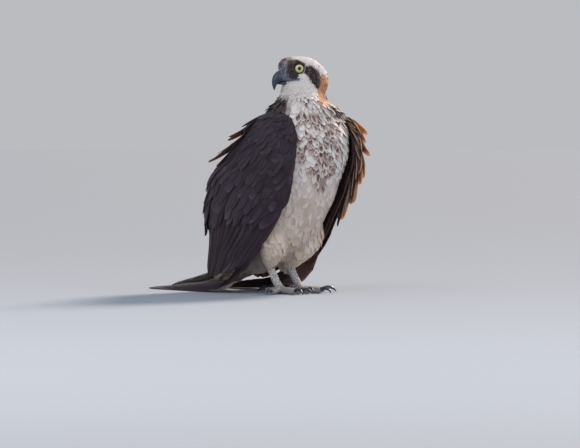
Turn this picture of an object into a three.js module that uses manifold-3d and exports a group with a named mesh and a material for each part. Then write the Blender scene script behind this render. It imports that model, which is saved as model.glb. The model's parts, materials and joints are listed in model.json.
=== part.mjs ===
// A life-size osprey standing upright on level ground with its head turned to its right.
// Millimetres, +Z up. The bird faces -Y, its left side is +X, and its feet stand on z = 0.
import * as THREE from "three";
import { mergeVertices } from "three/addons/utils/BufferGeometryUtils.js";
import Module from "manifold-3d";

const wasm = await Module();
wasm.setup();

// Driving sizes
const GAP = 0.35; // clearance that neighbouring pieces keep
const HEAD_CENTRE = [-3, -48, 361];
const HEAD_TURN = 102; // degrees to the bird's right
const NECK_HEAD_CUT = 338; // height of the cut between neck and head
const NECK_TORSO_CUT = 303;
const STANCE = 30; // half the distance between the feet
const TARSUS_R = 6.8;
const PALM = [STANCE, -13, 8.5];
const LEFT_STEP = [-7, 10]; // the left foot stands this much further in and back than the right one
const STEP_FROM = 112; // height where the left thigh starts to follow that step
const STEP_ALL = 58; // height below which the whole leg has moved
const CLAW_R = 3.5;
const EYE_R = 10.5;
const TAIL_LENGTH = 184;
const TAIL_COUNT = 8;

const rad = THREE.MathUtils.degToRad;
const vec = (x, y, z) => new THREE.Vector3(x, y, z);
const mix = (a, b, u) => a + (b - a) * u;
const clamp01 = (u) => Math.min(1, Math.max(0, u));
const ease = (u) => u * u * (3 - 2 * u);

// The same random draws on every run
let seed = 7;
function draw(low, high) {
  seed = (seed * 1103515245 + 12345) % 2147483648;
  return low + ((high - low) * seed) / 2147483648;
}

// Solids

// A closed geometry as a manifold, turned face-out if it is inside out.
function solid(geometry) {
  const bare = geometry.index ? geometry.toNonIndexed() : geometry.clone();
  bare.deleteAttribute("normal");
  bare.deleteAttribute("uv");
  const merged = mergeVertices(bare, 1e-4);
  const p = merged.attributes.position.array;
  const t = new Uint32Array(merged.index.array);
  let volume = 0;
  for (let i = 0; i < t.length; i += 3) {
    const [a, b, c] = [t[i], t[i + 1], t[i + 2]].map((k) => vec(p[3 * k], p[3 * k + 1], p[3 * k + 2]));
    volume += a.dot(b.cross(c));
  }
  if (volume < 0) {
    for (let i = 0; i < t.length; i += 3) {
      [t[i + 1], t[i + 2]] = [t[i + 2], t[i + 1]];
    }
  }
  return new wasm.Manifold(new wasm.Mesh({ numProp: 3, vertProperties: p, triVerts: t }));
}

// A closed geometry through rings of equal count, each end closed by a fan.
function skin(rings) {
  const n = rings[0].length;
  const points = rings.flat();
  const triangles = [];
  for (let r = 0; r + 1 < rings.length; r++) {
    for (let i = 0; i < n; i++) {
      const [a, b] = [r * n + i, r * n + ((i + 1) % n)];
      triangles.push(a, b, b + n, a, b + n, a + n);
    }
  }
  for (const [ring, first, turned] of [[rings[0], 0, true], [rings.at(-1), points.length - n, false]]) {
    const middle = ring.reduce((sum, q) => sum.add(q), vec(0, 0, 0)).multiplyScalar(1 / n);
    points.push(middle);
    for (let i = 0; i < n; i++) {
      const [a, b, c] = [first + i, first + ((i + 1) % n), points.length - 1];
      triangles.push(...(turned ? [b, a, c] : [a, b, c]));
    }
  }
  const geometry = new THREE.BufferGeometry().setFromPoints(points);
  return solid(geometry.setIndex(triangles));
}

// A smooth value between b and c, with a before them and d after.
const between = (a, b, c, d, u) =>
  0.5 * (2 * b + (c - a) * u + (2 * a - 5 * b + 4 * c - d) * u * u + (3 * b - a - 3 * c + d) * u ** 3);

// Rows of numbers, smoothly filled in to `count` rows.
function smooth(rows, count) {
  const at = (k) => rows[Math.min(rows.length - 1, Math.max(0, k))];
  return Array.from({ length: count }, (_, i) => {
    const w = (i / (count - 1)) * (rows.length - 1);
    const k = Math.min(rows.length - 2, Math.floor(w));
    return at(k).map((_, j) => between(at(k - 1)[j], at(k)[j], at(k + 1)[j], at(k + 2)[j], w - k));
  });
}

// A ring of a rounded section: half width along u, and two half depths along v.
function ring(centre, u, v, half, front, back, sides, power = 2.2) {
  return Array.from({ length: sides }, (_, i) => {
    const turn = (2 * Math.PI * (i + 0.5)) / sides;
    const [s, c] = [Math.sin(turn), Math.cos(turn)];
    const x = Math.sign(s) * Math.abs(s) ** (2 / power) * half;
    const y = Math.sign(c) * Math.abs(c) ** (2 / power) * (c > 0 ? back : front);
    return centre.clone().addScaledVector(u, x).addScaledVector(v, y);
  });
}

// A tube of changing radius along a curve through points [x, y, z, radius].
function tube(points, count, sides, grow = 0) {
  const rows = smooth(points, count);
  const line = rows.map(([x, y, z]) => vec(x, y, z));
  const rise = Math.abs(line.at(-1).z - line[0].z);
  const up = rise > 0.8 * line[0].distanceTo(line.at(-1)) ? vec(0, 1, 0) : vec(0, 0, 1);
  return skin(
    rows.map((row, i) => {
      const along = line[Math.min(i + 1, count - 1)].clone().sub(line[Math.max(i - 1, 0)]).normalize();
      const u = along.clone().cross(up).normalize();
      const v = u.clone().cross(along).normalize();
      return ring(line[i], u, v, row[3] + grow, row[3] + grow, row[3] + grow, sides, 2);
    }),
  );
}

function box(low, high) {
  const size = low.map((a, i) => high[i] - a);
  const middle = low.map((a, i) => (high[i] + a) / 2);
  return solid(new THREE.BoxGeometry(...size).translate(...middle));
}

const join = (pieces) => pieces.reduce((whole, piece) => whole.add(piece));
const FAR = 900;
const above = (z) => box([-FAR, -FAR, z], [FAR, FAR, FAR]);
const below = (z) => box([-FAR, -FAR, -FAR], [FAR, FAR, z]);

// The surface of a solid, turned over in x where side is -1.
function geometryOf(made, side = 1) {
  const out = made.getMesh();
  const places = new Float32Array(out.numVert * 3);
  for (let i = 0; i < out.numVert; i++) {
    const [x, y, z] = out.vertProperties.subarray(i * out.numProp, i * out.numProp + 3);
    places.set([x * side, y, z], i * 3);
  }
  const geometry = new THREE.BufferGeometry().setAttribute("position", new THREE.BufferAttribute(places, 3));
  return geometry.setIndex(new THREE.BufferAttribute(out.triVerts, 1));
}

// The largest closed surface of a solid, without any sealed hollow.
function largest(made) {
  return made.decompose().reduce((best, body) => (body.volume() > best.volume() ? body : best));
}

// Body

// Torso rings: y, z, half width, depth to the belly, depth to the back, tilt of the ring in degrees.
const TORSO = [
  [-40, 311, 49, 42, 42, 0],
  [-42, 301, 62, 47, 52, 0],
  [-44, 288, 68, 52, 60, 0],
  [-45, 268, 73, 57, 68, 0],
  [-42, 238, 77, 60, 84, 0],
  [-35, 205, 77, 56, 92, 3],
  [-27, 170, 74, 50, 86, 8],
  [-14, 138, 67, 46, 78, 15],
  [2, 110, 57, 42, 66, 27],
  [30, 84, 46, 36, 48, 45],
  [64, 62, 36, 32, 28, 62],
  [104, 44, 28, 23, 13, 75],
  [146, 26, 21, 15, 5, 80],
  [170, 17, 9, 7, 2, 80],
];

function torsoWhole(grow = 0) {
  return skin(
    smooth(TORSO, 20).map(([y, z, half, front, back, tilt]) => {
      const v = vec(0, Math.cos(rad(tilt)), Math.sin(rad(tilt)));
      return ring(vec(0, y, z), vec(1, 0, 0), v, half + grow, front + grow, back + grow, 20);
    }),
  );
}

const HEAD_AXIS = vec(-Math.sin(rad(HEAD_TURN)), -Math.cos(rad(HEAD_TURN)), 0); // the way the bill points
const HEAD_SIDE = vec(-HEAD_AXIS.y, HEAD_AXIS.x, 0); // the head's left
const HEAD_UP = vec(0, 0, 1);

// A point in the head's own frame: forward, to its left, up.
const headPoint = (f, l, h) =>
  vec(...HEAD_CENTRE).addScaledVector(HEAD_AXIS, f).addScaledVector(HEAD_SIDE, l).addScaledVector(HEAD_UP, h);

// Head rings from nape to bill: forward, top, bottom, half width.
const HEAD = [
  [-35, 2, -14, 9],
  [-31, 10, -26, 18],
  [-21, 18.5, -34, 25],
  [-6, 27, -37, 28],
  [9, 29.5, -36, 27.5],
  [22, 29, -33, 25],
  [33, 28, -29, 21.5],
  [39.5, 26.5, -24, 17.5],
  [44, 24.5, -8, 13.5],
  [47.5, 21, 1.5, 10],
  [50.5, 16, 6, 6],
];

function headWhole(grow = 0) {
  return skin(
    smooth(HEAD, 15).map(([f, top, bottom, half]) => {
      const middle = (top + bottom) / 2;
      const deep = (top - bottom) / 2 + grow;
      return ring(headPoint(f, 0, middle), HEAD_SIDE, HEAD_UP, half + grow, deep, deep, 18, 2.3);
    }),
  );
}

// Neck rings: x, y, z, half length along the turned axis, half width, turn in degrees.
const NECK = [
  [0, -42, 292, 50, 62, 0],
  [-5, -42, 305, 46, 57, 12],
  [-8, -43, 318, 44, 43, 45],
  [-8, -45, 332, 42, 35, 80],
  [-8, -47, 344, 39, 29, 100],
  [-4, -48, 356, 30, 22, 102],
];

function neckWhole(grow = 0) {
  return skin(
    smooth(NECK, 10).map(([x, y, z, long, half, turn]) => {
      const a = rad(turn - 90);
      const u = vec(Math.cos(a), -Math.sin(a), 0);
      const v = vec(Math.sin(a), Math.cos(a), 0);
      return ring(vec(x, y, z), v, u, half + grow, long + grow, long + grow, 18);
    }),
  );
}

// Thigh rings of the left leg: x, y, z, radius.
const THIGH = [
  [40, -2, 122, 28],
  [40, -6, 100, 29],
  [38, -4, 80, 27],
  [35, 2, 64, 22],
  [32, 8, 52, 16],
  [30, 11, 44, 11],
  [30, 12, 39, 8.4],
];

// Rows of the left leg, turned over for the right one and stepped in and back for the left one.
const placed = (rows, side) =>
  rows.map(([x, y, z, r]) => {
    const share = side > 0 ? ease(clamp01((STEP_FROM - z) / (STEP_FROM - STEP_ALL))) : 0;
    return [x * side + LEFT_STEP[0] * share, y + LEFT_STEP[1] * share, z, r];
  });

const thighWhole = (side, grow = 0) => tube(placed(THIGH, side), 8, 13, grow);

// Head details

const EYE_AT = { forward: 22.5, side: 14.4, up: 8 };
const eyeCentre = (side) => headPoint(EYE_AT.forward, side * EYE_AT.side, EYE_AT.up);
const eyeAxis = (side) =>
  HEAD_SIDE.clone().multiplyScalar(side * Math.cos(rad(24))).addScaledVector(HEAD_AXIS, Math.sin(rad(24)));

function ball(centre, radius, wide = 14, high = 8) {
  return solid(new THREE.SphereGeometry(radius, wide, high).translate(...centre.toArray()));
}

// The raised rim of the lids: a ring of small section round the eye's axis.
function lid(side) {
  const shape = new THREE.TorusGeometry(8, 1.4, 4, 12);
  shape.applyQuaternion(new THREE.Quaternion().setFromUnitVectors(vec(0, 0, 1), eyeAxis(side)));
  const at = eyeCentre(side).addScaledVector(eyeAxis(side), 7.2);
  return solid(shape.translate(...at.toArray()));
}

// The brow: a low ridge from the lores over the eye.
const brow = (side) =>
  tube(
    [
      [33, 13.5, 14.5, 2],
      [27, 18, 18.8, 3.2],
      [17, 21.4, 19.6, 3.2],
      [7, 22, 15.5, 2],
    ].map(([f, l, h, r]) => [...headPoint(f, side * l, h).toArray(), r]),
    5,
    6,
  );

// The soft edge of the mouth, from the bill to below the eye.
const gape = (side) =>
  tube(
    [
      [42, 8.6, -8.6, 2.2],
      [34, 15.6, -9.2, 2.4],
      [25, 21, -9.6, 1.6],
    ].map(([f, l, h, r]) => [...headPoint(f, side * l, h).toArray(), r]),
    4,
    6,
  );

const BILL_BASE = 42;
const CERE_END = 50.5;
// Upper bill rings: forward, up, half width, half height, pitch of the ring in degrees.
const BILL = [
  [38, -2.6, 10.8, 10.6, 0],
  [44, -2.8, 9.9, 10.2, 2],
  [50, -4.4, 8.6, 9.3, 14],
  [55.6, -8.2, 6.8, 7.6, 36],
  [59, -13.8, 4.8, 5.4, 62],
  [60.4, -20.2, 2.9, 3.2, 82],
  [60, -27.2, 0.5, 0.6, 96],
];

// Nostril of the left side: forward, to the side, up, radius of points along its slit.
const NOSTRIL = [
  [48.7, 8.7, -1, 1],
  [48.1, 8.1, 1.3, 1.4],
  [47.5, 6.7, 3.8, 1],
];
const nostril = (side) =>
  tube(
    NOSTRIL.map(([f, l, h, r]) => [...headPoint(f, side * l, h).toArray(), r]),
    4,
    6,
  );

function billWhole(grow = 0) {
  return skin(
    smooth(BILL, 12).map(([f, h, half, deep, pitch]) => {
      const upright = HEAD_UP.clone().multiplyScalar(Math.cos(rad(pitch)));
      const v = upright.addScaledVector(HEAD_AXIS, Math.sin(rad(pitch)));
      return ring(headPoint(f, 0, h), HEAD_SIDE, v, half + grow, deep + grow, deep + grow, 12, 2.3);
    }),
  );
}

// Lower bill rings: forward, up, half width, half height.
const LOWER_BILL = [
  [38, -15, 7.6, 3.6],
  [44, -15.2, 7, 3.2],
  [50, -15.8, 5.4, 2.4],
  [54.5, -16.2, 3, 1.3],
];

const lowerBillWhole = (grow = 0) =>
  skin(
    smooth(LOWER_BILL, 5).map(([f, h, half, deep]) =>
      ring(headPoint(f, 0, h), HEAD_SIDE, HEAD_UP, half + grow, deep + grow, deep + grow, 10),
    ),
  );

// A block of the head's own frame, for thin cuts.
function headBlock(from, to) {
  const block = new THREE.BoxGeometry(to - from, 160, 200).translate((from + to) / 2, 0, 0);
  const turn = new THREE.Matrix4().makeBasis(HEAD_AXIS, HEAD_SIDE, HEAD_UP).setPosition(...HEAD_CENTRE);
  return solid(block.applyMatrix4(turn));
}

// Feathers

// A closed sheet between two grids of points, split into triangles alike on both faces.
function slab(top, bottom) {
  const [rows, columns] = [top.length, top[0].length];
  const upper = (r, c) => r * columns + c;
  const lower = (r, c) => (rows + r) * columns + c;
  const triangles = [];
  for (let r = 0; r + 1 < rows; r++) {
    for (let c = 0; c + 1 < columns; c++) {
      triangles.push(upper(r, c), upper(r, c + 1), upper(r + 1, c + 1));
      triangles.push(upper(r, c), upper(r + 1, c + 1), upper(r + 1, c));
      triangles.push(lower(r, c), lower(r + 1, c + 1), lower(r, c + 1));
      triangles.push(lower(r, c), lower(r + 1, c), lower(r + 1, c + 1));
    }
  }
  const rim = [];
  for (let c = 0; c + 1 < columns; c++) rim.push([0, c]);
  for (let r = 0; r + 1 < rows; r++) rim.push([r, columns - 1]);
  for (let c = columns - 1; c > 0; c--) rim.push([rows - 1, c]);
  for (let r = rows - 1; r > 0; r--) rim.push([r, 0]);
  rim.forEach((p, i) => {
    const q = rim[(i + 1) % rim.length];
    triangles.push(upper(...q), upper(...p), lower(...p), upper(...q), lower(...p), lower(...q));
  });
  const geometry = new THREE.BufferGeometry().setFromPoints([...top.flat(), ...bottom.flat()]);
  return solid(geometry.setIndex(triangles));
}

// The share of a feather's full width at a share of its length, and how blunt its tip is.
function outline(u, point, blunt = 0.4) {
  const root = 0.4 + 0.6 * Math.sin((Math.PI / 2) * clamp01(u / 0.35));
  const tip = Math.sqrt(Math.max(0, 1 - Math.max(0, (u - (1 - point)) / point) ** 2.2));
  return root * Math.max(blunt, tip);
}

// One feather from stations, each with its shaft point, the ways across and up, half width, thickness
// and how much higher the shaft lies than the edges.
function vane(stations) {
  const face = (way) =>
    stations.map(({ at, across, up, half, thick, crown }) =>
      [1, 0, -1].map((x) =>
        at.clone().addScaledVector(across, x * half).addScaledVector(up, (way * thick) / 2 + (x ? 0 : crown)),
      ),
    );
  return slab(...settle(face(1), face(-1)));
}

// Moves each station of a feather up so that none of it is below the ground.
function settle(top, bottom) {
  top.forEach((row, k) => {
    const low = Math.min(...row.map((p) => p.z), ...bottom[k].map((p) => p.z));
    if (low < 0.05) [...row, ...bottom[k]].forEach((p) => p.setZ(p.z - low + 0.05));
  });
  return [top, bottom];
}

const onSide = (grid, side) => grid.map((row) => row.map((p) => vec(p.x * side, p.y, p.z)));

// Wing

// The folded wing as a cape round the body: each row is y and z of the section's centre, the tilt of
// its plane, half width, half depth, and the angles from the breast where its front and back edges lie.
const CAPE = [
  [-38, 298, 0, 62, 16, 62, 150],
  [-35, 289, 0, 78, 38, 44, 158],
  [-34, 277, 0, 87, 52, 39, 165],
  [-31, 258, 0, 94, 65, 37, 170],
  [-20, 236, 0, 97, 80, 38, 174],
  [-6, 214, 0, 98, 96, 38, 176],
  [14, 190, 0, 98, 108, 37.5, 177],
  [24, 165, 0, 97, 108, 37, 177],
  [34, 142, 0, 95, 105, 37.5, 177],
  [41, 118, 0, 90, 99, 42, 177],
  [45, 93, 0, 83, 96, 53, 177],
  [54, 67, 0, 77, 94, 65, 177],
  [66, 39, 0, 74, 86, 68, 176],
  [78, 14, 0, 71, 72, 74, 174],
];
const CAPE_POWER = 2.7;
const CORE_END = 0.62; // share of the cape's length that the wing's own flesh fills
const SHOULDER_THICK = 2.4; // how much thicker the wing is where it meets the body

// A point of the left cape: s from shoulder to tips, t from its front edge to its back edge.
function capePoint(s, t) {
  const w = clamp01(s) * (CAPE.length - 1);
  const k = Math.min(CAPE.length - 2, Math.floor(w));
  const rows = [k - 1, k, k + 1, k + 2].map((i) => CAPE[Math.min(CAPE.length - 1, Math.max(0, i))]);
  const filled = rows[1].map((_, j) => between(...rows.map((row) => row[j]), w - k));
  const [y, z, tilt, half, deep, front, back] = filled;
  const turn = rad(mix(front, back, t));
  const x = half * Math.max(0.03, Math.sin(turn)) ** (2 / CAPE_POWER);
  const v = -deep * Math.sign(Math.cos(turn)) * Math.abs(Math.cos(turn)) ** (2 / CAPE_POWER);
  return vec(x, y + v * Math.cos(rad(tilt)), z + v * Math.sin(rad(tilt)));
}

// The cape's ways along and across at a point, each per unit of s or t.
function capeWays(s, t) {
  const e = 0.012;
  const [s0, s1, t0, t1] = [Math.max(0, s - e), Math.min(1, s + e), t - e, t + e];
  const along = capePoint(s1, t).sub(capePoint(s0, t)).divideScalar(s1 - s0);
  const across = capePoint(s, t1).sub(capePoint(s, t0)).divideScalar(t1 - t0);
  return [along, across];
}

// A point at height h over the left cape.
function over(s, t, h) {
  const [along, across] = capeWays(s, t);
  return capePoint(s, t).addScaledVector(along.cross(across).normalize(), h);
}

// The wing's own body under its feathers, down to `end`, from `front` to `back` mm thick.
function wingCore(side, end, rows, columns, front, back) {
  const face = (inward) =>
    Array.from({ length: rows + 1 }, (_, i) =>
      Array.from({ length: columns + 1 }, (_, j) => {
        const [s, t] = [(i / rows) * end, j / columns];
        const thick = mix(front, back, t) * mix(SHOULDER_THICK, 1, ease(clamp01(s / 0.3)));
        return over(s, t, inward ? -thick : 0);
      }),
    );
  return slab(...settle(onSide(face(false), side), onSide(face(true), side)));
}

const ROOT_SHARE = 0.14; // the part of a feather that dives into the flesh
const FEATHER_STEPS = [0, ROOT_SHARE, 0.7, 1];
const LONG_STEPS = [0, ROOT_SHARE, 0.4, 0.68, 0.9, 1];

// A feather over the cape. It grows at (s, t), is `long` of the cape's length, starts `sunk` deep and
// rises to `lift` over the cape at its tip. `lean` is how far its front edge stands over its back edge.
function capeFeather({ s, t, long, half, drift = 0, sunk = 5, rise = 2, lift = 6, lean = 0.07, thick = 0.8,
  point = 0.4, curl = 0, steps = FEATHER_STEPS }, side) {
  const face = (way) =>
    steps.map((u) => {
      const [here, there] = [s + long * u, t + drift * u];
      const wide = half * outline(u, point);
      const dt = wide / capeWays(here, there)[1].length();
      const grown = clamp01((u - ROOT_SHARE) / (1 - ROOT_SHARE));
      const rooted = mix(-sunk, rise, u / ROOT_SHARE);
      const h = u < ROOT_SHARE ? rooted : mix(rise, lift, grown) + curl * grown ** 2;
      return [1, 0, -1].map((x) => over(here, there + x * dt, h - lean * wide * x + (way * thick) / 2));
    });
  return slab(...settle(onSide(face(1), side), onSide(face(-1), side)));
}

// Rows of wing feathers: where they grow, how many, how long, half width and how far the tips lift.
const COVERT_ROWS = [
  { s: 0.07, count: 3, long: 0.23, half: 21, lift: 6 },
  { s: 0.2, count: 4, long: 0.24, half: 26, lift: 6 },
  { s: 0.33, count: 4, long: 0.27, half: 28, lift: 7.5 },
];
const COVERTS_END = 0.62; // share of the way to the back where the scapulars take over
const SECONDARIES = { s: 0.54, count: 7, long: 0.46, half: 28, lift: 2.4 };

function coverts(side, ruffle) {
  return COVERT_ROWS.flatMap(({ s, count, long, half, lift }, row) =>
    Array.from({ length: count }, (_, i) => {
      const share = (i + 0.5 + (row % 2 ? 0.2 : -0.2)) / count;
      const t = mix(0.04, COVERTS_END, share);
      const longer = draw(0.95, 1.05);
      return capeFeather({ s, t, long: long * longer, half, lift: lift + ruffle(s, t) }, side);
    }),
  );
}

// How far each secondary reaches: those at the back end over the tail.
const reach = (share) => mix(0.84, 0.98, share) - 0.34 * ease(clamp01((share - 0.6) / 0.4));

function secondaries(side) {
  const { s, count, long, half, lift } = SECONDARIES;
  return Array.from({ length: count }, (_, i) => {
    const share = i / (count - 1);
    const spec = { s, t: mix(0.08, 0.93, share), long: long * reach(share) * draw(0.98, 1.02), half, lift };
    return capeFeather({ ...spec, rise: 2.4, lean: 0.1, thick: 0.8, point: 0.3, steps: LONG_STEPS }, side);
  });
}

// Primaries run from under the front edge of the secondaries, back and down, to lie beside the tail.
// All lie along one line, stacked, with the longest lowest.
const PRIMARIES = { count: 3, half: 16, step: 2.3, side: 4, shorter: 0.09 };
const PRIMARY_BENDS = [0, 0.12, 0.26, 0.38, 0.46, 0.54, 0.64];
const primaryLine = new THREE.CatmullRomCurve3(
  [
    over(0.5, 0.1, -6),
    over(0.64, 0.09, -10),
    over(0.8, 0.08, -10),
    vec(71, 48, 30),
    vec(69, 88, 9.5),
    vec(65, 165, 5),
    vec(61, 284, 1.6),
  ],
  false,
  "centripetal",
);

function primary(i, side) {
  const flat = vec(-0.97, 0, 0.24).normalize();
  const upright = capeWays(0.5, 0.1)[1].normalize();
  const end = 1 - PRIMARIES.shorter * i;
  const stations = [...PRIMARY_BENDS, mix(PRIMARY_BENDS.at(-1), end, 0.75), end].map((u) => {
    const along = primaryLine.getTangentAt(u);
    const lean = upright.clone().lerp(flat, ease(clamp01((u - 0.1) / 0.5)));
    const up = along.clone().cross(lean).normalize();
    const across = up.clone().cross(along).normalize();
    const apart = mix(0.9, PRIMARIES.step, clamp01(u / 0.2));
    const at = primaryLine.getPointAt(u).addScaledVector(up, apart * i);
    at.addScaledVector(across, PRIMARIES.side * i);
    const half = PRIMARIES.half * outline(u / end, 0.34, 0.3);
    return { at, across, up, half, thick: mix(1.2, 0.8, u), crown: 0.5 };
  });
  return vane(stations.map(({ at, across, up, ...rest }) => ({
    at: vec(at.x * side, at.y, at.z),
    across: vec(across.x * side, across.y, across.z),
    up: vec(up.x * side, up.y, up.z),
    ...rest,
  })));
}

// Scapulars: the loose feathers of the shoulder that lie over the wing's back edge.
const SCAPULAR_ROWS = [
  { s: 0.07, count: 2, long: 0.24, lift: 8 },
  { s: 0.19, count: 2, long: 0.26, lift: 8.5 },
  { s: 0.33, count: 3, long: 0.3, lift: 9 },
];

function scapulars(side, tufts) {
  const laid = SCAPULAR_ROWS.flatMap(({ s, count, long, lift }, row) =>
    Array.from({ length: count }, (_, i) => {
      const t = mix(COVERTS_END + 0.03, 0.98, (i + 0.5 + (row % 2 ? 0.15 : -0.15)) / count);
      return capeFeather({ s: s + draw(-0.01, 0.01), t, long, half: 26, rise: 2.5, lift, point: 0.5 }, side);
    }),
  );
  return [...laid, ...tufts.map((tuft) => capeFeather({ point: 0.75, rise: 4, ...tuft }, side))];
}

// Feathers that the wind lifts, on each side
const RIGHT_TUFTS = [
  { s: 0.09, t: 0.6, long: 0.12, half: 9, lift: 10, curl: 6, lean: 0.5 },
  { s: 0.13, t: 0.61, long: 0.16, half: 11, lift: 15, curl: 8, lean: 0.5 },
  { s: 0.22, t: 0.64, long: 0.2, half: 12, lift: 16, curl: 8, lean: 0.5 },
];
const LEFT_TUFTS = [
  { s: 0.12, t: 0.08, long: 0.13, half: 9, lift: 14, curl: 8, lean: 0.7 },
  { s: 0.21, t: 0.08, long: 0.14, half: 9, lift: 14, curl: 9, lean: 0.7 },
  { s: 0.31, t: 0.08, long: 0.15, half: 10, lift: 12, curl: 8, lean: 0.7 },
  { s: 0.42, t: 0.08, long: 0.16, half: 10, lift: 10, curl: 6, lean: 0.7 },
];

function wing(side) {
  const ruffle = (s, t) => (side > 0 && t < 0.35 ? 3 : 0);
  const tufts = side > 0 ? LEFT_TUFTS : RIGHT_TUFTS;
  return join([
    wingCore(side, CORE_END, 6, 5, 9, 7),
    ...coverts(side, ruffle),
    ...secondaries(side),
    ...Array.from({ length: PRIMARIES.count }, (_, i) => primary(i, side)),
    ...scapulars(side, tufts),
  ]);
}

// Tail

const TAIL_ROOT = vec(0, 96, 50);
const TAIL_TIP = vec(0, 96 + Math.sqrt(TAIL_LENGTH ** 2 - 48 ** 2), 2);

function tailFeather(j) {
  const off = j - (TAIL_COUNT - 1) / 2; // from the middle pair outward
  const depth = Math.abs(off) + (off > 0 ? 0.5 : 0);
  const along = TAIL_TIP.clone().sub(TAIL_ROOT).add(vec(off * 2.4, 0, 0)).normalize();
  const across = vec(1, 0, 0).addScaledVector(along, -along.x).normalize();
  const stations = [0, 0.3, 0.65, 0.93, 1].map((u) => {
    const shift = vec(off * mix(3.2, 6.2, u), 0, (4.2 - depth) * 1.8 - 4 * Math.sin(Math.PI * u));
    const at = TAIL_ROOT.clone().lerp(TAIL_TIP, u * (1 - 0.012 * depth)).add(shift);
    const half = 15.5 * outline(u, 0.16);
    return { at, across, up: across.clone().cross(along), half, thick: mix(1.1, 0.7, u), crown: 0 };
  });
  return vane(stations);
}

// The upper tail coverts lie over the roots of the tail feathers.
function tailCovert(i) {
  const off = (i - 1.5) * 1.5;
  const along = vec(off * 0.07, 1, -0.18).normalize();
  const across = vec(1, 0, 0).addScaledVector(along, -along.x).normalize();
  const stations = [0, 0.3, 0.75, 1].map((u) => {
    const height = mix(58, 48, u) - Math.abs(off) * 1.1 + (i % 2) * 1.4;
    const at = vec(off * mix(5, 10, u), mix(108, 176, u), height);
    const half = 11 * outline(u, 0.45);
    return { at, across, up: across.clone().cross(along), half, thick: 0.9, crown: 0.6 };
  });
  return vane(stations);
}

// The flesh that the tail feathers grow from: y, z, half width, half height.
const TAIL_BASE = [
  [96, 54, 25, 15],
  [114, 49, 24, 14],
  [132, 45, 20, 10],
  [150, 41, 13, 5],
];

function tail() {
  const base = skin(
    smooth(TAIL_BASE, 6).map(([y, z, half, deep]) =>
      ring(vec(0, y, z), vec(1, 0, 0), HEAD_UP, half, deep, deep, 14),
    ),
  );
  const feathers = Array.from({ length: TAIL_COUNT }, (_, j) => tailFeather(j));
  return join([base, ...feathers, ...Array.from({ length: 4 }, (_, i) => tailCovert(i))]);
}

// Legs

// Rings of the left lower leg: x, y, z, radius.
const TARSUS = [
  [30, 14, 53, 7.8],
  [30, 13, 46, 7.4],
  [30, 3, 31, TARSUS_R],
  [30, -6, 18, TARSUS_R],
  [PALM[0], PALM[1], PALM[2] + 1, 7.4],
];
const tarsusWhole = (side, grow = 0) => tube(placed(TARSUS, side), 6, 9, grow);

// Toes of the left foot: angle out from straight ahead in degrees, and length.
const TOES = [
  { name: "inner", angle: -20, long: 40 },
  { name: "middle", angle: 8, long: 47 },
  { name: "outer", angle: 62, long: 42 },
  { name: "hind", angle: 176, long: 30 },
];
const toeWay = ({ angle }) => vec(Math.sin(rad(angle)), -Math.cos(rad(angle)), 0);

// Rows along a toe or claw of one foot, from rows of distance out from the palm, height and radius.
function toeRows(spec, rows, side) {
  const way = toeWay(spec);
  return placed(
    rows.map(([out, z, r]) => {
      const p = vec(...PALM).addScaledVector(way, out);
      return [p.x, p.y, z, r];
    }),
    side,
  );
}

// A toe: share of its length, height, radius. Each joint has a pad under it.
const TOE = [
  [0, 8, 6.8],
  [0.25, 5.8, 5.9],
  [0.5, 5.5, 5.1],
  [0.75, 4.7, 5.4],
  [1, 5.3, 4.4],
];
const toe = (spec, side, grow) =>
  tube(toeRows(spec, TOE.map(([share, z, r]) => [spec.long * share, z, r]), side), 6, 6, grow);

// A claw: a curved, tapering cone from the toe's end to the ground. Distance past the toe's end,
// height, and share of the claw's full radius.
const CLAW = [
  [-3, 5.8, 1],
  [4, 8.2, 0.92],
  [11, 8.4, 0.74],
  [17, 5.6, 0.48],
  [20.5, 0.9, 0.13],
];
const claw = (spec, side) =>
  tube(toeRows(spec, CLAW.map(([out, z, share]) => [spec.long + out, z, CLAW_R * share]), side), 6, 6);

// The sole under the palm: y before the palm, height, radius.
const SOLE = [
  [7, 8, 5],
  [0, 6.5, 9],
  [-9, 6, 6],
];

function footWhole(side, grow = 0) {
  const sole = placed(SOLE.map(([y, z, r]) => [PALM[0], PALM[1] + y, z, r]), side);
  return join([tube(sole, 5, 10, grow), ...TOES.map((spec) => toe(spec, side, grow))]);
}

// The room of the tail, which the wings keep clear of: y and z of its outline seen from the side.
const TAIL_ROOM = [[88, 74], [120, 71], [156, 55], [290, 16], [290, -5], [88, -5]];
const tailRoom = skin([-38, 38].map((x) => TAIL_ROOM.map(([y, z]) => vec(x, y, z))));

// The object

const scene = new THREE.Group();
const paint = (color, roughness) => new THREE.MeshStandardMaterial({ color, roughness, metalness: 0 });
const MATERIALS = {
  white: paint(0xe9e2da, 0.9),
  brown: paint(0x3a2f33, 0.8),
  tail: paint(0x5b4844, 0.8),
  horn: paint(0x26262e, 0.35),
  cere: paint(0x66697c, 0.5),
  eye: paint(0xd8b53a, 0.1),
  scale: paint(0xa9a9a6, 0.7),
};

function add(name, made, material) {
  const body = largest(solid(geometryOf(largest(made))));
  const geometry = geometryOf(body);
  geometry.computeVertexNormals();
  const mesh = new THREE.Mesh(geometry, material);
  mesh.name = name;
  scene.add(mesh);
  return body;
}

const ground = below(0);
const flesh = join([torsoWhole(), neckWhole(), headWhole()]);
const fleshGrown = join([torsoWhole(GAP), neckWhole(GAP), headWhole(GAP)]);
const billGrown = join([billWhole(GAP), lowerBillWhole(GAP)]);
const eyesGrown = join([-1, 1].map((side) => ball(eyeCentre(side), EYE_R + GAP)));

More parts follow.
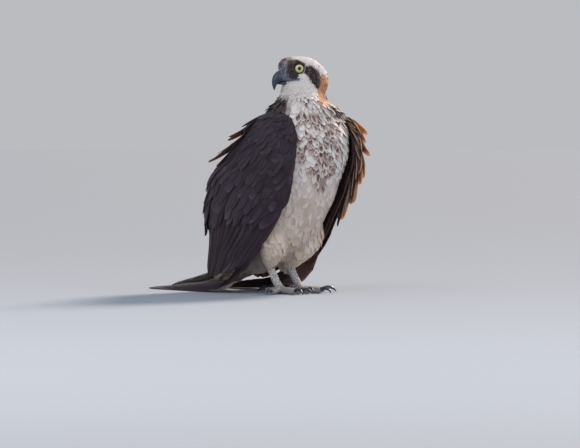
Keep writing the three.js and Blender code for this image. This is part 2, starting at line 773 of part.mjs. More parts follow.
const features = join([...[-1, 1].flatMap((side) => [lid(side), brow(side), gape(side)])]);
add(
  "head",
  flesh.intersect(above(NECK_HEAD_CUT)).add(features).subtract(billGrown).subtract(eyesGrown),
  MATERIALS.white,
);
add("neck", flesh.intersect(below(NECK_HEAD_CUT - GAP)).intersect(above(NECK_TORSO_CUT)), MATERIALS.white);
add("torso", flesh.intersect(below(NECK_TORSO_CUT - GAP)), MATERIALS.white);

const upperBill = billWhole().subtract(lowerBillWhole(GAP));
const cere = upperBill.subtract(headBlock(CERE_END, 120)).intersect(headBlock(BILL_BASE - 3, 120));
add("cere", cere.subtract(nostril(-1)).subtract(nostril(1)), MATERIALS.cere);
add("bill_upper", upperBill.intersect(headBlock(CERE_END + GAP, 120)), MATERIALS.horn);
add("bill_lower", lowerBillWhole(), MATERIALS.horn);
for (const [name, side] of [["left", 1], ["right", -1]]) {
  add("eye_" + name, ball(eyeCentre(side), EYE_R), MATERIALS.eye);
}

// The half of the room past the middle plane, where one wing doesn't reach.
const otherHalf = (side) =>
  side > 0
    ? box([-FAR, -FAR, -FAR], [GAP / 2, FAR, FAR])
    : box([-GAP / 2, -FAR, -FAR], [FAR, FAR, FAR]);

for (const [name, side] of [["left", 1], ["right", -1]]) {
  const thighGrown = thighWhole(side, GAP);
  add("thigh_" + name, thighWhole(side).subtract(fleshGrown), MATERIALS.white);
  const free = wing(side).subtract(fleshGrown).subtract(thighGrown).subtract(tailRoom);
  add("wing_" + name, free.subtract(otherHalf(side)).subtract(ground), MATERIALS.brown);
  add("tarsus_" + name, tarsusWhole(side).subtract(thighGrown).subtract(fleshGrown), MATERIALS.scale);
}

add("tail", tail().subtract(fleshGrown).subtract(ground), MATERIALS.tail);

for (const [name, side] of [["left", 1], ["right", -1]]) {
  add("foot_" + name, footWhole(side).subtract(tarsusWhole(side, GAP)).subtract(ground), MATERIALS.scale);
  for (const spec of TOES) {
    const made = claw(spec, side).subtract(footWhole(side, GAP)).subtract(ground);
    add("claw_" + name + "_" + spec.name, made, MATERIALS.horn);
  }
}

// The origin is the middle of the whole outline, on the ground.
const middle = new THREE.Box3().setFromObject(scene).getCenter(vec(0, 0, 0));
scene.position.set(-middle.x, -middle.y, 0);

export default scene;
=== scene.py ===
# %% [markdown]
# # A life-size osprey
# The bird stands on level ground with folded wings and looks over its right shoulder. Its solids come
# as a fixed frame of named nodes. This file dresses them: one skin for the flesh, thousands of small
# feathers over it, the long feathers of the wings and tail in tiers, and the bare parts in horn and scale.

# %% Load the frame
import json
import math

import bpy
import numpy as np
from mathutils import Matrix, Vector

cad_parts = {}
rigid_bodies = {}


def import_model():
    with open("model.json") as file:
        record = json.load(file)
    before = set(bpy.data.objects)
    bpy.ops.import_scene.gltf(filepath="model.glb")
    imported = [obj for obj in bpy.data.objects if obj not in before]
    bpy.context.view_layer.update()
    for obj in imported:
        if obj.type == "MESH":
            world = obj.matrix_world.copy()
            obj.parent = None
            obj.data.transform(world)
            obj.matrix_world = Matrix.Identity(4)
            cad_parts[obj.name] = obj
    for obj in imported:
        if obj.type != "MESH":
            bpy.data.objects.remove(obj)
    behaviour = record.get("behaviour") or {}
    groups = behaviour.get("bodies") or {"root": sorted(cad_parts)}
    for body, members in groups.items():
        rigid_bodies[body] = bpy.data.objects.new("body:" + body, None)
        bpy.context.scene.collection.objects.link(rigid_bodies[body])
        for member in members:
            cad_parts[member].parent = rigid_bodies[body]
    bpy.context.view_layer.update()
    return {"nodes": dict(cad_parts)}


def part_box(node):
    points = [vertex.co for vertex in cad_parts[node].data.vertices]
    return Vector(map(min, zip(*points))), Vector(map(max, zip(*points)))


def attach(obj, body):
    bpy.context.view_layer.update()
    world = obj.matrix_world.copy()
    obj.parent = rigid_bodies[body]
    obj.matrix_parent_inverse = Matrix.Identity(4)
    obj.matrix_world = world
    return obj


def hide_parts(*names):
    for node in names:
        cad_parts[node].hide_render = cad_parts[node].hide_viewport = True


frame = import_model()
print("frame:", len(frame["nodes"]), "nodes")

# %% [markdown]
# ## One set of sizes
# All sizes are millimetres in the bird's own frame: it faces -Y, its left is +X, the ground is z = 0.
# The head is turned to the bird's right, so it has a frame of its own. A table of a few rings describes
# each swelling form, and a smooth curve fills in between the rows. That is easier to change than a
# sculpted mesh, and the solids were made from tables like these.

# %% The head's frame
HEAD_CENTRE = np.array([-3.0, -48.0, 361.0])
HEAD_TURN = math.radians(102)  # to the bird's right
HEAD_AXIS = np.array([-math.sin(HEAD_TURN), -math.cos(HEAD_TURN), 0.0])
HEAD_SIDE = np.array([-HEAD_AXIS[1], HEAD_AXIS[0], 0.0])
UP = np.array([0.0, 0.0, 1.0])
SIDES = (("left", 1), ("right", -1))  # the bird's own left is +X
print("the head looks along", np.round(HEAD_AXIS, 2))


# %% Smooth tables
def between(a, b, c, d, u):
    return 0.5 * (2 * b + (c - a) * u + (2 * a - 5 * b + 4 * c - d) * u**2 + (3 * b - a - 3 * c + d) * u**3)


def table_at(rows, place):
    """The rows of a table at fractional places, smoothly filled in."""
    rows = np.asarray(rows, float)
    place = np.clip(np.asarray(place, float), 0, len(rows) - 1)
    k = np.minimum(place.astype(int), len(rows) - 2)
    row = [rows[np.clip(k + i, 0, len(rows) - 1)] for i in (-1, 0, 1, 2)]
    return between(*row, (place - k)[..., None])


def smooth(rows, count):
    return table_at(rows, np.linspace(0, len(rows) - 1, count))


def mix(a, b, u):
    return a + (b - a) * u


def ease(low, high, x):
    """0 below low, 1 above high and a soft step between."""
    u = np.clip((np.asarray(x, float) - low) / (high - low), 0, 1)
    return u * u * (3 - 2 * u)


def unit(v):
    return v / np.maximum(np.linalg.norm(v, axis=-1, keepdims=True), 1e-9)


def head_point(f, l, h):
    """A point in the head's own frame: forward, to its left, up."""
    f, l, h = (np.asarray(a, float)[..., None] for a in (f, l, h))
    return HEAD_CENTRE + HEAD_AXIS * f + HEAD_SIDE * l + UP * h


# %% Eyes give the place of the frame
EYE_R = 10.5
EYE_FORWARD, EYE_OUT, EYE_UP = 22.5, 14.4, 8.0
EYE_TURN = math.radians(24)  # the eyes look this much forward of straight sideways


def eye_centre(side):
    return head_point(EYE_FORWARD, side * EYE_OUT, EYE_UP)


def eye_axis(side):
    return HEAD_SIDE * side * math.cos(EYE_TURN) + HEAD_AXIS * math.sin(EYE_TURN)


low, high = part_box("eye_left")
SHIFT = (np.array(low) + np.array(high)) * 500 - eye_centre(1)
SHIFT[2] = 0.0
print("origin of the frame in the bird's own sizes:", np.round(-SHIFT, 2))

# %% [markdown]
# ## Meshes from arrays
# A feathered bird has tens of thousands of small surfaces. Objects, modifiers or hair would be slow and
# some would be lost on export, so each coat is one mesh filled straight from arrays: every feather is the
# same little grid of points, bent to its own place. Each mesh keeps three things for its material: a
# middle and a rim colour on each point, the place across and along its feather, and a map of its roots.

# %% Faces, points and colours
def grid_faces(count, rows, columns, closed=False):
    """Quads over many grids of rows x columns points, numbered one grid after another."""
    r, c = np.meshgrid(np.arange(rows - 1), np.arange(columns if closed else columns - 1), indexing="ij")
    a = (r * columns + c).ravel()
    b = (r * columns + (c + 1) % columns).ravel()
    one = np.stack([a, b, b + columns, a + columns], -1)
    return (one[None] + (np.arange(count) * rows * columns)[:, None, None]).reshape(-1, 4)


def set_points(mesh, points):
    """Writes points in the bird's millimetres into a mesh, in metres of the frame."""
    mesh.vertices.foreach_set("co", ((points + SHIFT) / 1000).astype(np.float32).ravel())


def set_colour(mesh, label, value):
    """Writes one colour for each point of a mesh."""
    colour = np.ones((len(mesh.vertices), 4), np.float32)
    colour[:, :3] = np.asarray(value, float).reshape(-1, 3)
    mesh.color_attributes.new(label, "FLOAT_COLOR", "POINT").data.foreach_set("color", colour.ravel())


# %% Mesh maker
def make_mesh(name, points, faces, tint=None, vane=None, bake=None, rim=None):
    """A mesh object from points in the bird's millimetres and lists of quads or triangles."""
    points = np.asarray(points, float).reshape(-1, 3)
    faces = [np.asarray(f, int) for f in (faces if isinstance(faces, list) else [faces])]
    mesh = bpy.data.meshes.new(name)
    corners = np.concatenate([f.ravel() for f in faces])
    sizes = np.concatenate([np.full(len(f), f.shape[1]) for f in faces])
    mesh.vertices.add(len(points))
    set_points(mesh, points)
    mesh.loops.add(len(corners))
    mesh.loops.foreach_set("vertex_index", corners.astype(np.int32))
    mesh.polygons.add(len(sizes))
    mesh.polygons.foreach_set("loop_start", np.concatenate([[0], np.cumsum(sizes)[:-1]]).astype(np.int32))
    mesh.update(calc_edges=True)
    mesh.polygons.foreach_set("use_smooth", np.ones(len(sizes), bool))
    for label, value in (("OFBake", bake), ("Vane", vane)):
        if value is not None:
            layer = mesh.uv_layers.new(name=label)
            layer.data.foreach_set("uv", np.asarray(value, np.float32).reshape(-1, 2)[corners].ravel())
    for label, value in (("tint", tint), ("rim", rim)):
        if value is not None:
            set_colour(mesh, label, value)
    mesh.validate()
    thing = bpy.data.objects.new(name, mesh)
    bpy.context.scene.collection.objects.link(thing)
    return thing


def keep(thing, material, slot, *replaced):
    """Gives a finished piece its material and hides the nodes that it stands for. The slot is not used."""
    thing.data.materials.clear()
    thing.data.materials.append(material)
    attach(thing, "root")
    if replaced:
        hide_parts(*replaced)
    count = sum(len(p.vertices) - 2 for p in thing.data.polygons)
    print(f"{thing.name}: {count} triangles")
    return thing


# %% Rings, lofts and tubes
def ring(centre, u, v, half, front, back, sides, power=2.2):
    """Points round a rounded section: half width along u, two half depths along v."""
    turn = 2 * math.pi * (np.arange(sides) + 0.5) / sides
    s, c = np.sin(turn), np.cos(turn)
    x = np.sign(s) * np.abs(s) ** (2 / power) * half
    y = np.sign(c) * np.abs(c) ** (2 / power) * np.where(c > 0, back, front)
    return centre + np.outer(x, u) + np.outer(y, v)


def loft(rings):
    """Points and faces of a closed form through rings of equal count."""
    rings = np.asarray(rings)
    rows, sides = rings.shape[:2]
    points = np.concatenate([rings.reshape(-1, 3), rings[[0, -1]].mean(1)])
    i = np.arange(sides)
    j = (i + 1) % sides
    first = np.stack([j, i, np.full(sides, rows * sides)], -1)
    last = np.stack([i, j, np.full(sides, rows * sides + 1 - (rows - 1) * sides)], -1) + (rows - 1) * sides
    return points, [grid_faces(1, rows, sides, closed=True), first, last]


def tube(points, count, sides, grow=0.0):
    """Rings of a tube of changing radius through rows of x, y, z, radius."""
    rows = smooth(points, count)
    line = rows[:, :3]
    along = unit(np.gradient(line, axis=0))
    chord = unit(line[-1] - line[0])
    up = np.array([0.0, 1.0, 0.0]) if abs(chord[2]) > 0.8 else UP
    u = unit(np.cross(along, up))
    v = unit(np.cross(u, along))
    return [ring(line[i], u[i], v[i], *(3 * [rows[i, 3] + grow]), sides, 2) for i in range(count)]


# %% [markdown]
# ## Shader maths that reads like maths
# A material is a tree of nodes. Wrapping a socket in a small class lets an expression such as
# `0.5 + 0.2 * noise` add its Math nodes by itself, which keeps each finish short enough to read.

# %% A socket that can be reckoned with
class Value:
    """A socket of numbers that can take part in Python expressions."""

    def __init__(self, paint, socket):
        self.paint, self.socket = paint, socket

    def maths(self, operation, *inputs):
        return self.paint.node("ShaderNodeMath", {"operation": operation}, *inputs)

    def __add__(self, other):
        return self.maths("ADD", self, other)

    def __mul__(self, other):
        return self.maths("MULTIPLY", self, other)

    def __sub__(self, other):
        return self.maths("SUBTRACT", self, other)

    def __rsub__(self, other):
        return self.maths("SUBTRACT", other, self)

    def __abs__(self):
        return self.maths("ABSOLUTE", self)

    __radd__ = __add__
    __rmul__ = __mul__

    def step(self, low, high):
        """0 below low, 1 above high, soft between."""
        settings = {"interpolation_type": "SMOOTHSTEP"}
        return self.paint.node("ShaderNodeMapRange", settings, self, low, high, 0.0, 1.0)

    def sine(self):
        return self.maths("SINE", self)

    def larger(self, other):
        return self.maths("MAXIMUM", self, other)


# %% Material maker
class Paint:
    """A material and the few kinds of node that these finishes use."""

    def __init__(self, name, **shader):
        self.material = bpy.data.materials.new(name)
        self.material.use_nodes = True
        self.tree = self.material.node_tree
        self.shader = self.tree.nodes["Principled BSDF"]
        self.set(**shader)

    def link(self, given, socket):
        if isinstance(given, Value):
            self.tree.links.new(given.socket, socket)
        else:
            socket.default_value = given

    def node(self, kind, settings, *inputs, out=0, **named):
        made = self.tree.nodes.new(kind)
        for key, value in settings.items():
            setattr(made, key, value)
        for i, given in enumerate(inputs):
            if given is not None:
                self.link(given, made.inputs[i])
        for key, given in named.items():
            self.link(given, made.inputs[key])
        return Value(self, made.outputs[out])

    def set(self, **values):
        for key, given in values.items():
            self.link(given, self.shader.inputs[key.replace("_", " ")])

    def attribute(self, name):
        return self.node("ShaderNodeAttribute", {"attribute_name": name}, out="Color")

    def uv(self, name, axis):
        place = self.node("ShaderNodeUVMap", {"uv_map": name})
        return self.node("ShaderNodeSeparateXYZ", {}, place, out=axis)

    def where(self):
        return self.node("ShaderNodeTexCoord", {}, out="Object")

    def noise(self, scale, detail):
        return self.node("ShaderNodeTexNoise", {}, Vector=self.where(), Scale=scale, Detail=detail)

    def plates(self, scale):
        settings = {"feature": "DISTANCE_TO_EDGE"}
        return self.node("ShaderNodeTexVoronoi", settings, Vector=self.where(), Scale=scale)

    def blend(self, share, a, b, kind="MIX"):
        """Colour a, or b where share is 1. The node's colours are its inputs 6 and 7 and its output 2."""
        settings = {"data_type": "RGBA", "blend_type": kind, "clamp_result": False}
        return self.node("ShaderNodeMix", settings, share, *[None] * 5, a, b, out=2)

    def bump(self, height, strength, distance):
        sizes = {"Height": height, "Strength": strength, "Distance": distance}
        self.set(Normal=self.node("ShaderNodeBump", {}, out="Normal", **sizes))


# %% [markdown]
# ## What colours the plumage
# One function gives the colour of the plumage at any place on the body, so that the skin and the feathers
# that grow from it always agree. Ospreys are white below with a mottled breast band, dark brown above,
# and wear a dark stripe from the bill through the yellow eye down the side of the neck. Each marking is a
# patch at a named place, and each feather takes its colour from the place where it lies, so a patch ends
# feather by feather, as on the real bird. A painted picture would cut across the feathers.

# %% Colours and places of the markings
WHITE = np.array([0.74, 0.70, 0.68])
CREAM = np.array([0.67, 0.54, 0.44])
DARK = np.array([0.022, 0.015, 0.016])
BROWN = np.array([0.125, 0.075, 0.056])
FLECK = np.array([0.190, 0.122, 0.108])
# painted backlight: the warm rusty colour of feathers that light from behind glows through, on the nape and
# the loose wing feathers
BACKLIT_RUST = np.array([0.58, 0.26, 0.12])
SLATE = np.array([0.09, 0.10, 0.14])
STRIPE = [  # forward, up, reach: the dark stripe from behind the eye to the side of the neck
    (17, 6, 5.5), (8, 4, 9.5), (0, -4, 11), (-4, -13, 8.5), (-6, -20, 5.5),
]
LORE = [(38, 17, 5), (36, 6, 8), (34.5, -3, 7)]  # the dark patch between the eye and the bill
FOREHEAD = [(54, 14, 3.5), (49, 20, 3), (42, 24, 2)]  # the dark edge above the cere
OVER_EYE = [(34, 17, 4.5), (26, 18, 4.5), (17, 14.5, 3)]  # the dark brow
BREAST_SPOTS = [  # x, z and reach of the brown patches of the breast band
    (-38, 290, 13), (-18, 280, 17), (6, 274, 15), (26, 284, 12), (48, 278, 13), (62, 262, 10), (-2, 252, 17),
    (-24, 238, 13), (-2, 226, 18), (-24, 210, 11), (14, 212, 14), (-46, 228, 9), (24, 236, 9),
]
MOUTH = [(47, -9, 3.5), (36, -9.5, 3.2), (27, -9.6, 2.0)]  # the slate skin along the mouth
HEAD_HEIGHTS = (322, 334)  # the head's markings take over between these heights
MANTLE_HEIGHTS = (262, 290)  # between these the dark mantle comes forward over the right shoulder
PATCH_SOFT = 1.2  # half the width of a patch's soft edge
print("brown patches of the breast:", len(BREAST_SPOTS))


# %% Soft noise and soft patches
def soft_noise(points, scale, seed):
    """A smooth random value from 0 to 1 at each point, from a few turned waves."""
    waves = np.random.default_rng(seed + 100)
    total = np.zeros(points.shape[:-1])
    for size in (1.0, 1.9, 3.1):
        for _ in range(4):
            way = unit(waves.normal(size=3)) * size * 2 * math.pi / scale
            total += np.sin(points @ way + waves.uniform(0, 6.28)) / size
    return 0.5 + total / 8


def along_patch(chain, f, h):
    """1 inside a chain of round spots, 0 outside, from places seen from the side of the head."""
    best = np.full(f.shape, -1e9)
    place = np.stack([f, h], -1)
    for (fa, ha, ra), (fb, hb, rb) in zip(chain, chain[1:]):
        a, way = np.array([fa, ha]), np.array([fb - fa, hb - ha])
        u = np.clip(((place - a) @ way) / (way @ way), 0, 1)
        away = np.linalg.norm(place - a - u[..., None] * way, axis=-1)
        best = np.maximum(best, mix(ra, rb, u) - away)
    return ease(-PATCH_SOFT, PATCH_SOFT, best)


def head_place(points):
    """Forward, left and up in the head's own frame."""
    away = points - HEAD_CENTRE
    return away @ HEAD_AXIS, away @ HEAD_SIDE, away[..., 2]


# %% Where the dark back and the brown flecks are
def mantle_share(points):
    """1 where the dark mantle covers the back, the hind neck and the right shoulder."""
    x, y, z = np.moveaxis(points, -1, 0)
    shoulder = np.where(x < 0, -0.74, -0.55) * ease(*MANTLE_HEIGHTS, z) * x
    return ease(22, 34, 0.67 * (y + 42) + shoulder) * ease(327, 316, z) * ease(120, 165, z)


def fleck_share(points):
    """The share of feathers with a brown middle: the breast band, the forehead and the hind crown."""
    x, y, z = np.moveaxis(points, -1, 0)
    f, l, h = head_place(points)
    broad = soft_noise(points, 46, 2)
    spots = [ease(1.25, 0.6, np.hypot(x - a, z - b) / reach) for a, b, reach in BREAST_SPOTS]
    band = ease(306, 292, z) * ease(188, 206, z) * ease(6, -24, y)
    band = band * np.maximum(0.92 * np.max(spots, 0), 0.3 * ease(0.45, 0.55, broad) * ease(225, 250, z))
    stain = 0.9 * ease(24, 10, np.hypot(x - 2, (z - 190) * 0.9)) * ease(0, -40, y)
    collar = 0.3 * ease(306, 314, z) * ease(330, 322, z) * ease(0.5, 0.7, broad) * ease(10, -10, x)
    on_head = ease(332, 342, z)
    front = ease(24, 36, f) * ease(12, 18, h) * ease(22, 17, np.abs(l))
    hind = 0.25 * ease(-4, -14, f) * ease(6, 12, h)
    return np.maximum.reduce([band, stain, collar, on_head * np.maximum(0.75 * front, hind)])


# %% The colour at any place
def plumage(points):
    """Colour of the plumage at points of the body."""
    z = points[..., 2]
    f, l, h = head_place(points)
    fine, broad = soft_noise(points, 9, 1), soft_noise(points, 34, 3)
    colour = np.broadcast_to(WHITE, points.shape).copy()

    def lay(share, over):
        colour[:] = colour + (over - colour) * np.clip(share, 0, 1)[..., None]

    lay(ease(215, 110, z) * mix(0.6, 1.0, broad), CREAM)
    lay(0.3 * ease(0.5, 0.75, broad) * ease(330, 300, z), CREAM * 0.8)
    lay(mantle_share(points), DARK * 1.6)
    on_head = ease(*HEAD_HEIGHTS, z)
    behind = ease(-9, -15, f + 0.25 * h) * ease(4, -6, h)
    # painted backlight: the nape turns rusty where the warm light from behind glows through its feathers
    lay(ease(304, 318, z) * behind * mix(0.8, 1.0, ease(0.4, 0.6, fine)), BACKLIT_RUST)
    lay(0.2 * ease(310, 322, z) * behind * ease(0.45, 0.6, broad), BROWN)
    side = ease(3, 8, np.abs(l))
    grey = mix(SLATE, WHITE * 0.6, 0.3 * fine[..., None])
    lay(on_head * ease(36, 42, f) * ease(19, 15, h) * ease(-16, -10, h), grey)
    lay(0.85 * on_head * along_patch(FOREHEAD, f, h), DARK * 1.6)
    lay(on_head * side * along_patch(MOUTH, f, h), SLATE)
    lay(on_head * side * along_patch(LORE, f, h), DARK * 1.7)
    lay(on_head * side * along_patch(OVER_EYE, f, h), DARK)
    stripe = mix(DARK * 2.0, BROWN * 0.75, ease(0, -14, f)[..., None])
    lay(on_head * side * along_patch(STRIPE, f, h), stripe)
    return np.clip(colour, 0.008, 0.95)


# %% [markdown]
# ## The skin
# The flesh solids of head, neck, torso and thighs are replaced by one skin, so no seam shows. The same
# rings as the solids, a little smaller by the depth of the coat, are lofted, joined and remeshed into a
# single even surface. Its points then serve as the places where feathers can root. A boolean union would
# keep hard creases where the forms meet.

# %% Tables of the flesh forms
TORSO = [  # y, z, half width, depth to the belly, depth to the back, tilt
    (-40, 311, 49, 42, 42, 0), (-42, 301, 62, 47, 52, 0), (-44, 288, 68, 52, 60, 0),
    (-45, 268, 73, 57, 68, 0), (-42, 238, 77, 60, 84, 0), (-35, 205, 77, 56, 92, 3),
    (-27, 170, 74, 50, 86, 8), (-14, 138, 67, 46, 78, 15), (2, 110, 57, 42, 66, 27),
    (30, 84, 46, 36, 48, 45), (64, 62, 36, 32, 28, 62), (104, 44, 28, 23, 13, 75),
    (146, 26, 21, 15, 5, 80), (170, 17, 9, 7, 2, 80),
]
NECK = [  # x, y, z, half length, half width, turn
    (0, -42, 292, 50, 62, 0), (-5, -42, 305, 46, 57, 12), (-8, -43, 318, 44, 43, 45),
    (-8, -45, 332, 42, 35, 80), (-8, -47, 344, 39, 29, 100), (-4, -48, 356, 30, 22, 102),
]
HEAD = [  # forward, top, bottom, half width
    (-35, 2, -14, 9), (-31, 10, -26, 18), (-21, 18.5, -34, 25), (-6, 27, -37, 28), (9, 29.5, -36, 27.5),
    (22, 29, -33, 25), (33, 28, -29, 21.5), (39.5, 26.5, -24, 17.5), (44, 24.5, -8, 13.5),
    (47.5, 21, 1.5, 10), (50.5, 16, 6, 6),
]
print("rings of torso, neck and head:", len(TORSO), len(NECK), len(HEAD))


# %% Rings of torso, neck and head
def torso_rings(grow, count=44, sides=48):
    made = []
    for y, z, half, front, back, tilt in smooth(TORSO, count):
        v = np.array([0, math.cos(math.radians(tilt)), math.sin(math.radians(tilt))])
        sizes = (half + grow, front + grow, back + grow)
        made.append(ring(np.array([0, y, z]), np.array([1.0, 0, 0]), v, *sizes, sides))
    return made


def neck_rings(grow, count=22, sides=44):
    made = []
    for x, y, z, long, half, turn in smooth(NECK, count):
        a = math.radians(turn - 90)
        u = np.array([math.cos(a), -math.sin(a), 0])
        v = np.array([math.sin(a), math.cos(a), 0])
        made.append(ring(np.array([x, y, z]), v, u, half + grow, long + grow, long + grow, sides))
    return made


def head_rings(grow, count=34, sides=44):
    made = []
    for f, top, bottom, half in smooth(HEAD, count):
        deep = (top - bottom) / 2 + grow
        middle = head_point(f, 0, (top + bottom) / 2)
        made.append(ring(middle, HEAD_SIDE, UP, max(1, half + grow), deep, deep, sides, 2.3))
    return made


# %% Thighs and the step of the left leg
THIGH = [  # x, y, z, radius
    (40, -2, 122, 28), (40, -6, 100, 29), (38, -4, 80, 27), (35, 2, 64, 22), (32, 8, 52, 16),
    (30, 11, 44, 11), (30, 12, 39, 8.4),
]
LEFT_STEP = (-7.0, 10.0)  # the left foot stands this much further in and back
STEP_FROM, STEP_ALL = 112.0, 58.0  # heights between which the left leg takes up that step


def placed(rows, side):
    """Rows x, y, z, radius of the left leg, turned over for the right one and stepped for the left one."""
    made = []
    for x, y, z, r in rows:
        share = float(ease(STEP_FROM, STEP_ALL, z)) if side > 0 else 0.0
        made.append((x * side + LEFT_STEP[0] * share, y + LEFT_STEP[1] * share, z, r))
    return made


def thigh_rings(side, grow):
    return tube(placed(THIGH, side), 24, 30, grow)


# %% Joining forms into one surface
def read_points(thing):
    """The points and normals of a mesh, in the bird's millimetres."""
    count = len(thing.data.vertices)
    points, normals = np.zeros(count * 3, np.float32), np.zeros(count * 3, np.float32)
    thing.data.vertices.foreach_get("co", points)
    thing.data.vertices.foreach_get("normal", normals)
    return points.reshape(-1, 3) * 1000.0 - SHIFT, normals.reshape(-1, 3).astype(float)


def apply_modifiers(thing):
    """Replaces a mesh by what its modifiers make of it."""
    graph = bpy.context.evaluated_depsgraph_get()
    made = bpy.data.meshes.new_from_object(thing.evaluated_get(graph))
    thing.modifiers.clear()
    thing.data = made


def join_forms(name, forms, voxel):
    """One even closed surface round several overlapping closed forms."""
    points, faces, start = [], {3: [], 4: []}, 0
    for rings in forms:
        p, groups = loft(rings)
        for g in groups:
            faces[g.shape[1]].append(g + start)
        points.append(p)
        start += len(p)
    thing = make_mesh(name, np.concatenate(points), [np.concatenate(faces[4]), np.concatenate(faces[3])])
    remesh = thing.modifiers.new("even", "REMESH")
    remesh.mode, remesh.voxel_size, remesh.use_smooth_shade = "VOXEL", voxel / 1000, True
    relax = thing.modifiers.new("relax", "SMOOTH")
    relax.factor, relax.iterations = 0.5, 4
    bpy.context.view_layer.update()
    apply_modifiers(thing)
    return thing


# %% Make the skin
COAT_BODY, COAT_NECK, COAT_HEAD = 4.0, 3.0, 1.8  # depth of the coat, which is how far the skin is inside
SKIN_VOXEL = 1.9
flesh = [torso_rings(-COAT_BODY), neck_rings(-COAT_NECK), head_rings(-COAT_HEAD)]
flesh += [thigh_rings(side, -COAT_NECK) for side in (1, -1)]
skin = join_forms("skin", flesh, SKIN_VOXEL)
skin_points, skin_normals = read_points(skin)


def socket_press(points):
    """The skin sinks round each eyeball, so that the lids can sit there."""
    moved = points.copy()
    for side in (1, -1):
        away = points - eye_centre(side)
        reach = np.linalg.norm(away, axis=1)
        near = ease(13.5, 10.0, reach)
        ahead = away @ eye_axis(side)
        moved -= eye_axis(side) * (near * np.clip(ahead - 5.0, 0, 5))[:, None]
    return moved


skin_points = socket_press(skin_points)
set_points(skin.data, skin_points)
skin.data.update()
brown_share = 0.7 * fleck_share(skin_points)[:, None]
set_colour(skin.data, "tint", mix(plumage(skin_points), FLECK, brown_share) * 0.85)
print("points of the skin:", len(skin_points))

# %% [markdown]
# ## Down on the skin
# Between the feathers a bird shows soft down, never bare flesh. The skin is dull, a little darker than the
# feathers over it, and has a fine grain from noise, since nobody sees single strands there.

# %% Finish of the skin
down = Paint("down", Roughness=0.95, Specular_IOR_Level=0.15)
down_grain = down.noise(420.0, 4.0)
down.set(Base_Color=down.blend(0.35 * down_grain, down.attribute("tint"), (0.5, 0.42, 0.36, 1), "MULTIPLY"))
down.bump(down_grain, 0.5, 0.0012)
keep(skin, down.material, "plumage_white", "head", "neck", "torso", "thigh_left", "thigh_right")

# %% [markdown]
# ## Small feathers of the body
# Contour feathers lie like shingles: each starts in the skin, follows the lie of the coat and ends in a
# soft tip over the roots of the next ones. Roots are chosen from the skin's points so that no two are
# closer than about a fifth of the length of the feathers there. Sizes go from under four millimetres
# beside the bill to over thirty under the tail. Particle hair would be quicker, but it has no vane and is
# lost on export.

# %% Which way feathers lie
LINE = smooth(TORSO, 90)
LINE_POINTS, LINE_TILT = LINE[:, :2], np.radians(LINE[:, 5])
LINE_WAYS = np.gradient(LINE_POINTS, axis=0)


def along_body(points):
    """Place along the torso from 0 at the neck to 1 at the tail, and share of the way round it."""
    apart = points[:, None, 1:] - LINE_POINTS[None]
    off = apart[..., 1] * np.cos(LINE_TILT) - apart[..., 0] * np.sin(LINE_TILT)
    k = np.argmin(off**2 + 0.02 * (apart**2).sum(-1), 1)
    gone = points[:, 1:] - LINE_POINTS[k]
    v = gone[:, 0] * np.cos(LINE_TILT[k]) + gone[:, 1] * np.sin(LINE_TILT[k])
    return k / (len(LINE) - 1), np.arctan2(points[:, 0], -v) / (2 * math.pi) + 0.5


def leg_share(points):
    """1 on the thighs, 0 on the body."""
    outside = ease(16, 24, np.abs(points[:, 0]))
    return ease(128, 104, points[:, 2]) * outside * ease(48, 36, points[:, 1])


def lie(points, normals):
    """The way that feathers point at each place of the skin."""
    place = along_body(points)[0]
    tangent = LINE_WAYS[(place * (len(LINE) - 1)).astype(int)]
    spread = 0.12 * np.clip(points[:, 0] / 40, -1, 1)
    way = unit(np.column_stack([spread, tangent]))
    way = mix(way, np.array([0, 0.1, -1.0]), leg_share(points)[:, None])
    f, _, h = head_place(points)
    back = mix(1.0, 0.3, ease(-8, -28, f)) * mix(1.0, 0.45, ease(0, -25, h))
    fall = mix(0.12, 1.0, ease(0, -26, f)) * ease(26, 6, h) + 0.9 * ease(-6, -28, h)
    on_head = unit(-HEAD_AXIS * back[:, None] - UP * fall[:, None])
    way = mix(way, on_head, ease(318, 342, points[:, 2])[:, None])
    return unit(way - normals * (way * normals).sum(-1, keepdims=True))


# %% How long feathers are and how far they stand off
def feather_length(points):
    """Length of the feathers that grow at each place, in mm."""
    place = along_body(points)[0]
    body = mix(20.0, 26.0, ease(0.05, 0.5, place)) + 8 * ease(0.72, 0.95, place)
    body = mix(body, mix(19.0, 8.0, ease(95, 48, points[:, 2])), leg_share(points))
    f, _, h = head_place(points)
    head = mix(11.0, 4.0, ease(-22, 34, f)) * mix(1.0, 1.25, ease(-10, -30, h))
    return mix(body, head, ease(304, 342, points[:, 2]))


def feather_lift(points):
    """How far the tips stand off the skin: close on the crown, loose on breast, nape and neck."""
    z = points[:, 2]
    f, _, h = head_place(points)
    body = mix(2.2, 4.6, ease(190, 225, z) * ease(20, -20, points[:, 1]))
    head = 1.1 + 3.4 * ease(-16, -28, f) * ease(2, -12, h) + 1.4 * ease(-18, -30, h)
    return mix(body, head, ease(312, 340, z))


# %% Roots that keep their distance
rng = np.random.default_rng(11)


def spaced(points, reach):
    """A subset of points, no two nearer than the reach asked for at each."""
    cell = float(reach.max())
    taken, chosen = {}, []
    keys = np.floor(points / cell).astype(int).tolist()
    places, square = points.tolist(), (reach**2).tolist()
    steps = [(a, b, c) for a in (-1, 0, 1) for b in (-1, 0, 1) for c in (-1, 0, 1)]
    for i in rng.permutation(len(points)):
        (a, b, c), (x, y, z), r = keys[i], places[i], square[i]
        near = (q for da, db, dc in steps for q in taken.get((a + da, b + db, c + dc), ()))
        if all((q[0] - x) ** 2 + (q[1] - y) ** 2 + (q[2] - z) ** 2 > r for q in near):
            taken.setdefault((a, b, c), []).append((x, y, z))
            chosen.append(i)
    return np.array(chosen)


# %% Shape of one small feather
VANE_ALONG = np.array([0, 0.2, 0.42, 0.64, 0.82, 0.93, 1.0])
VANE_WIDE = np.array([0.35, 0.8, 1.0, 0.94, 0.7, 0.42, 0.06])
GROUND_GAP = 0.3  # no feather comes nearer to the ground


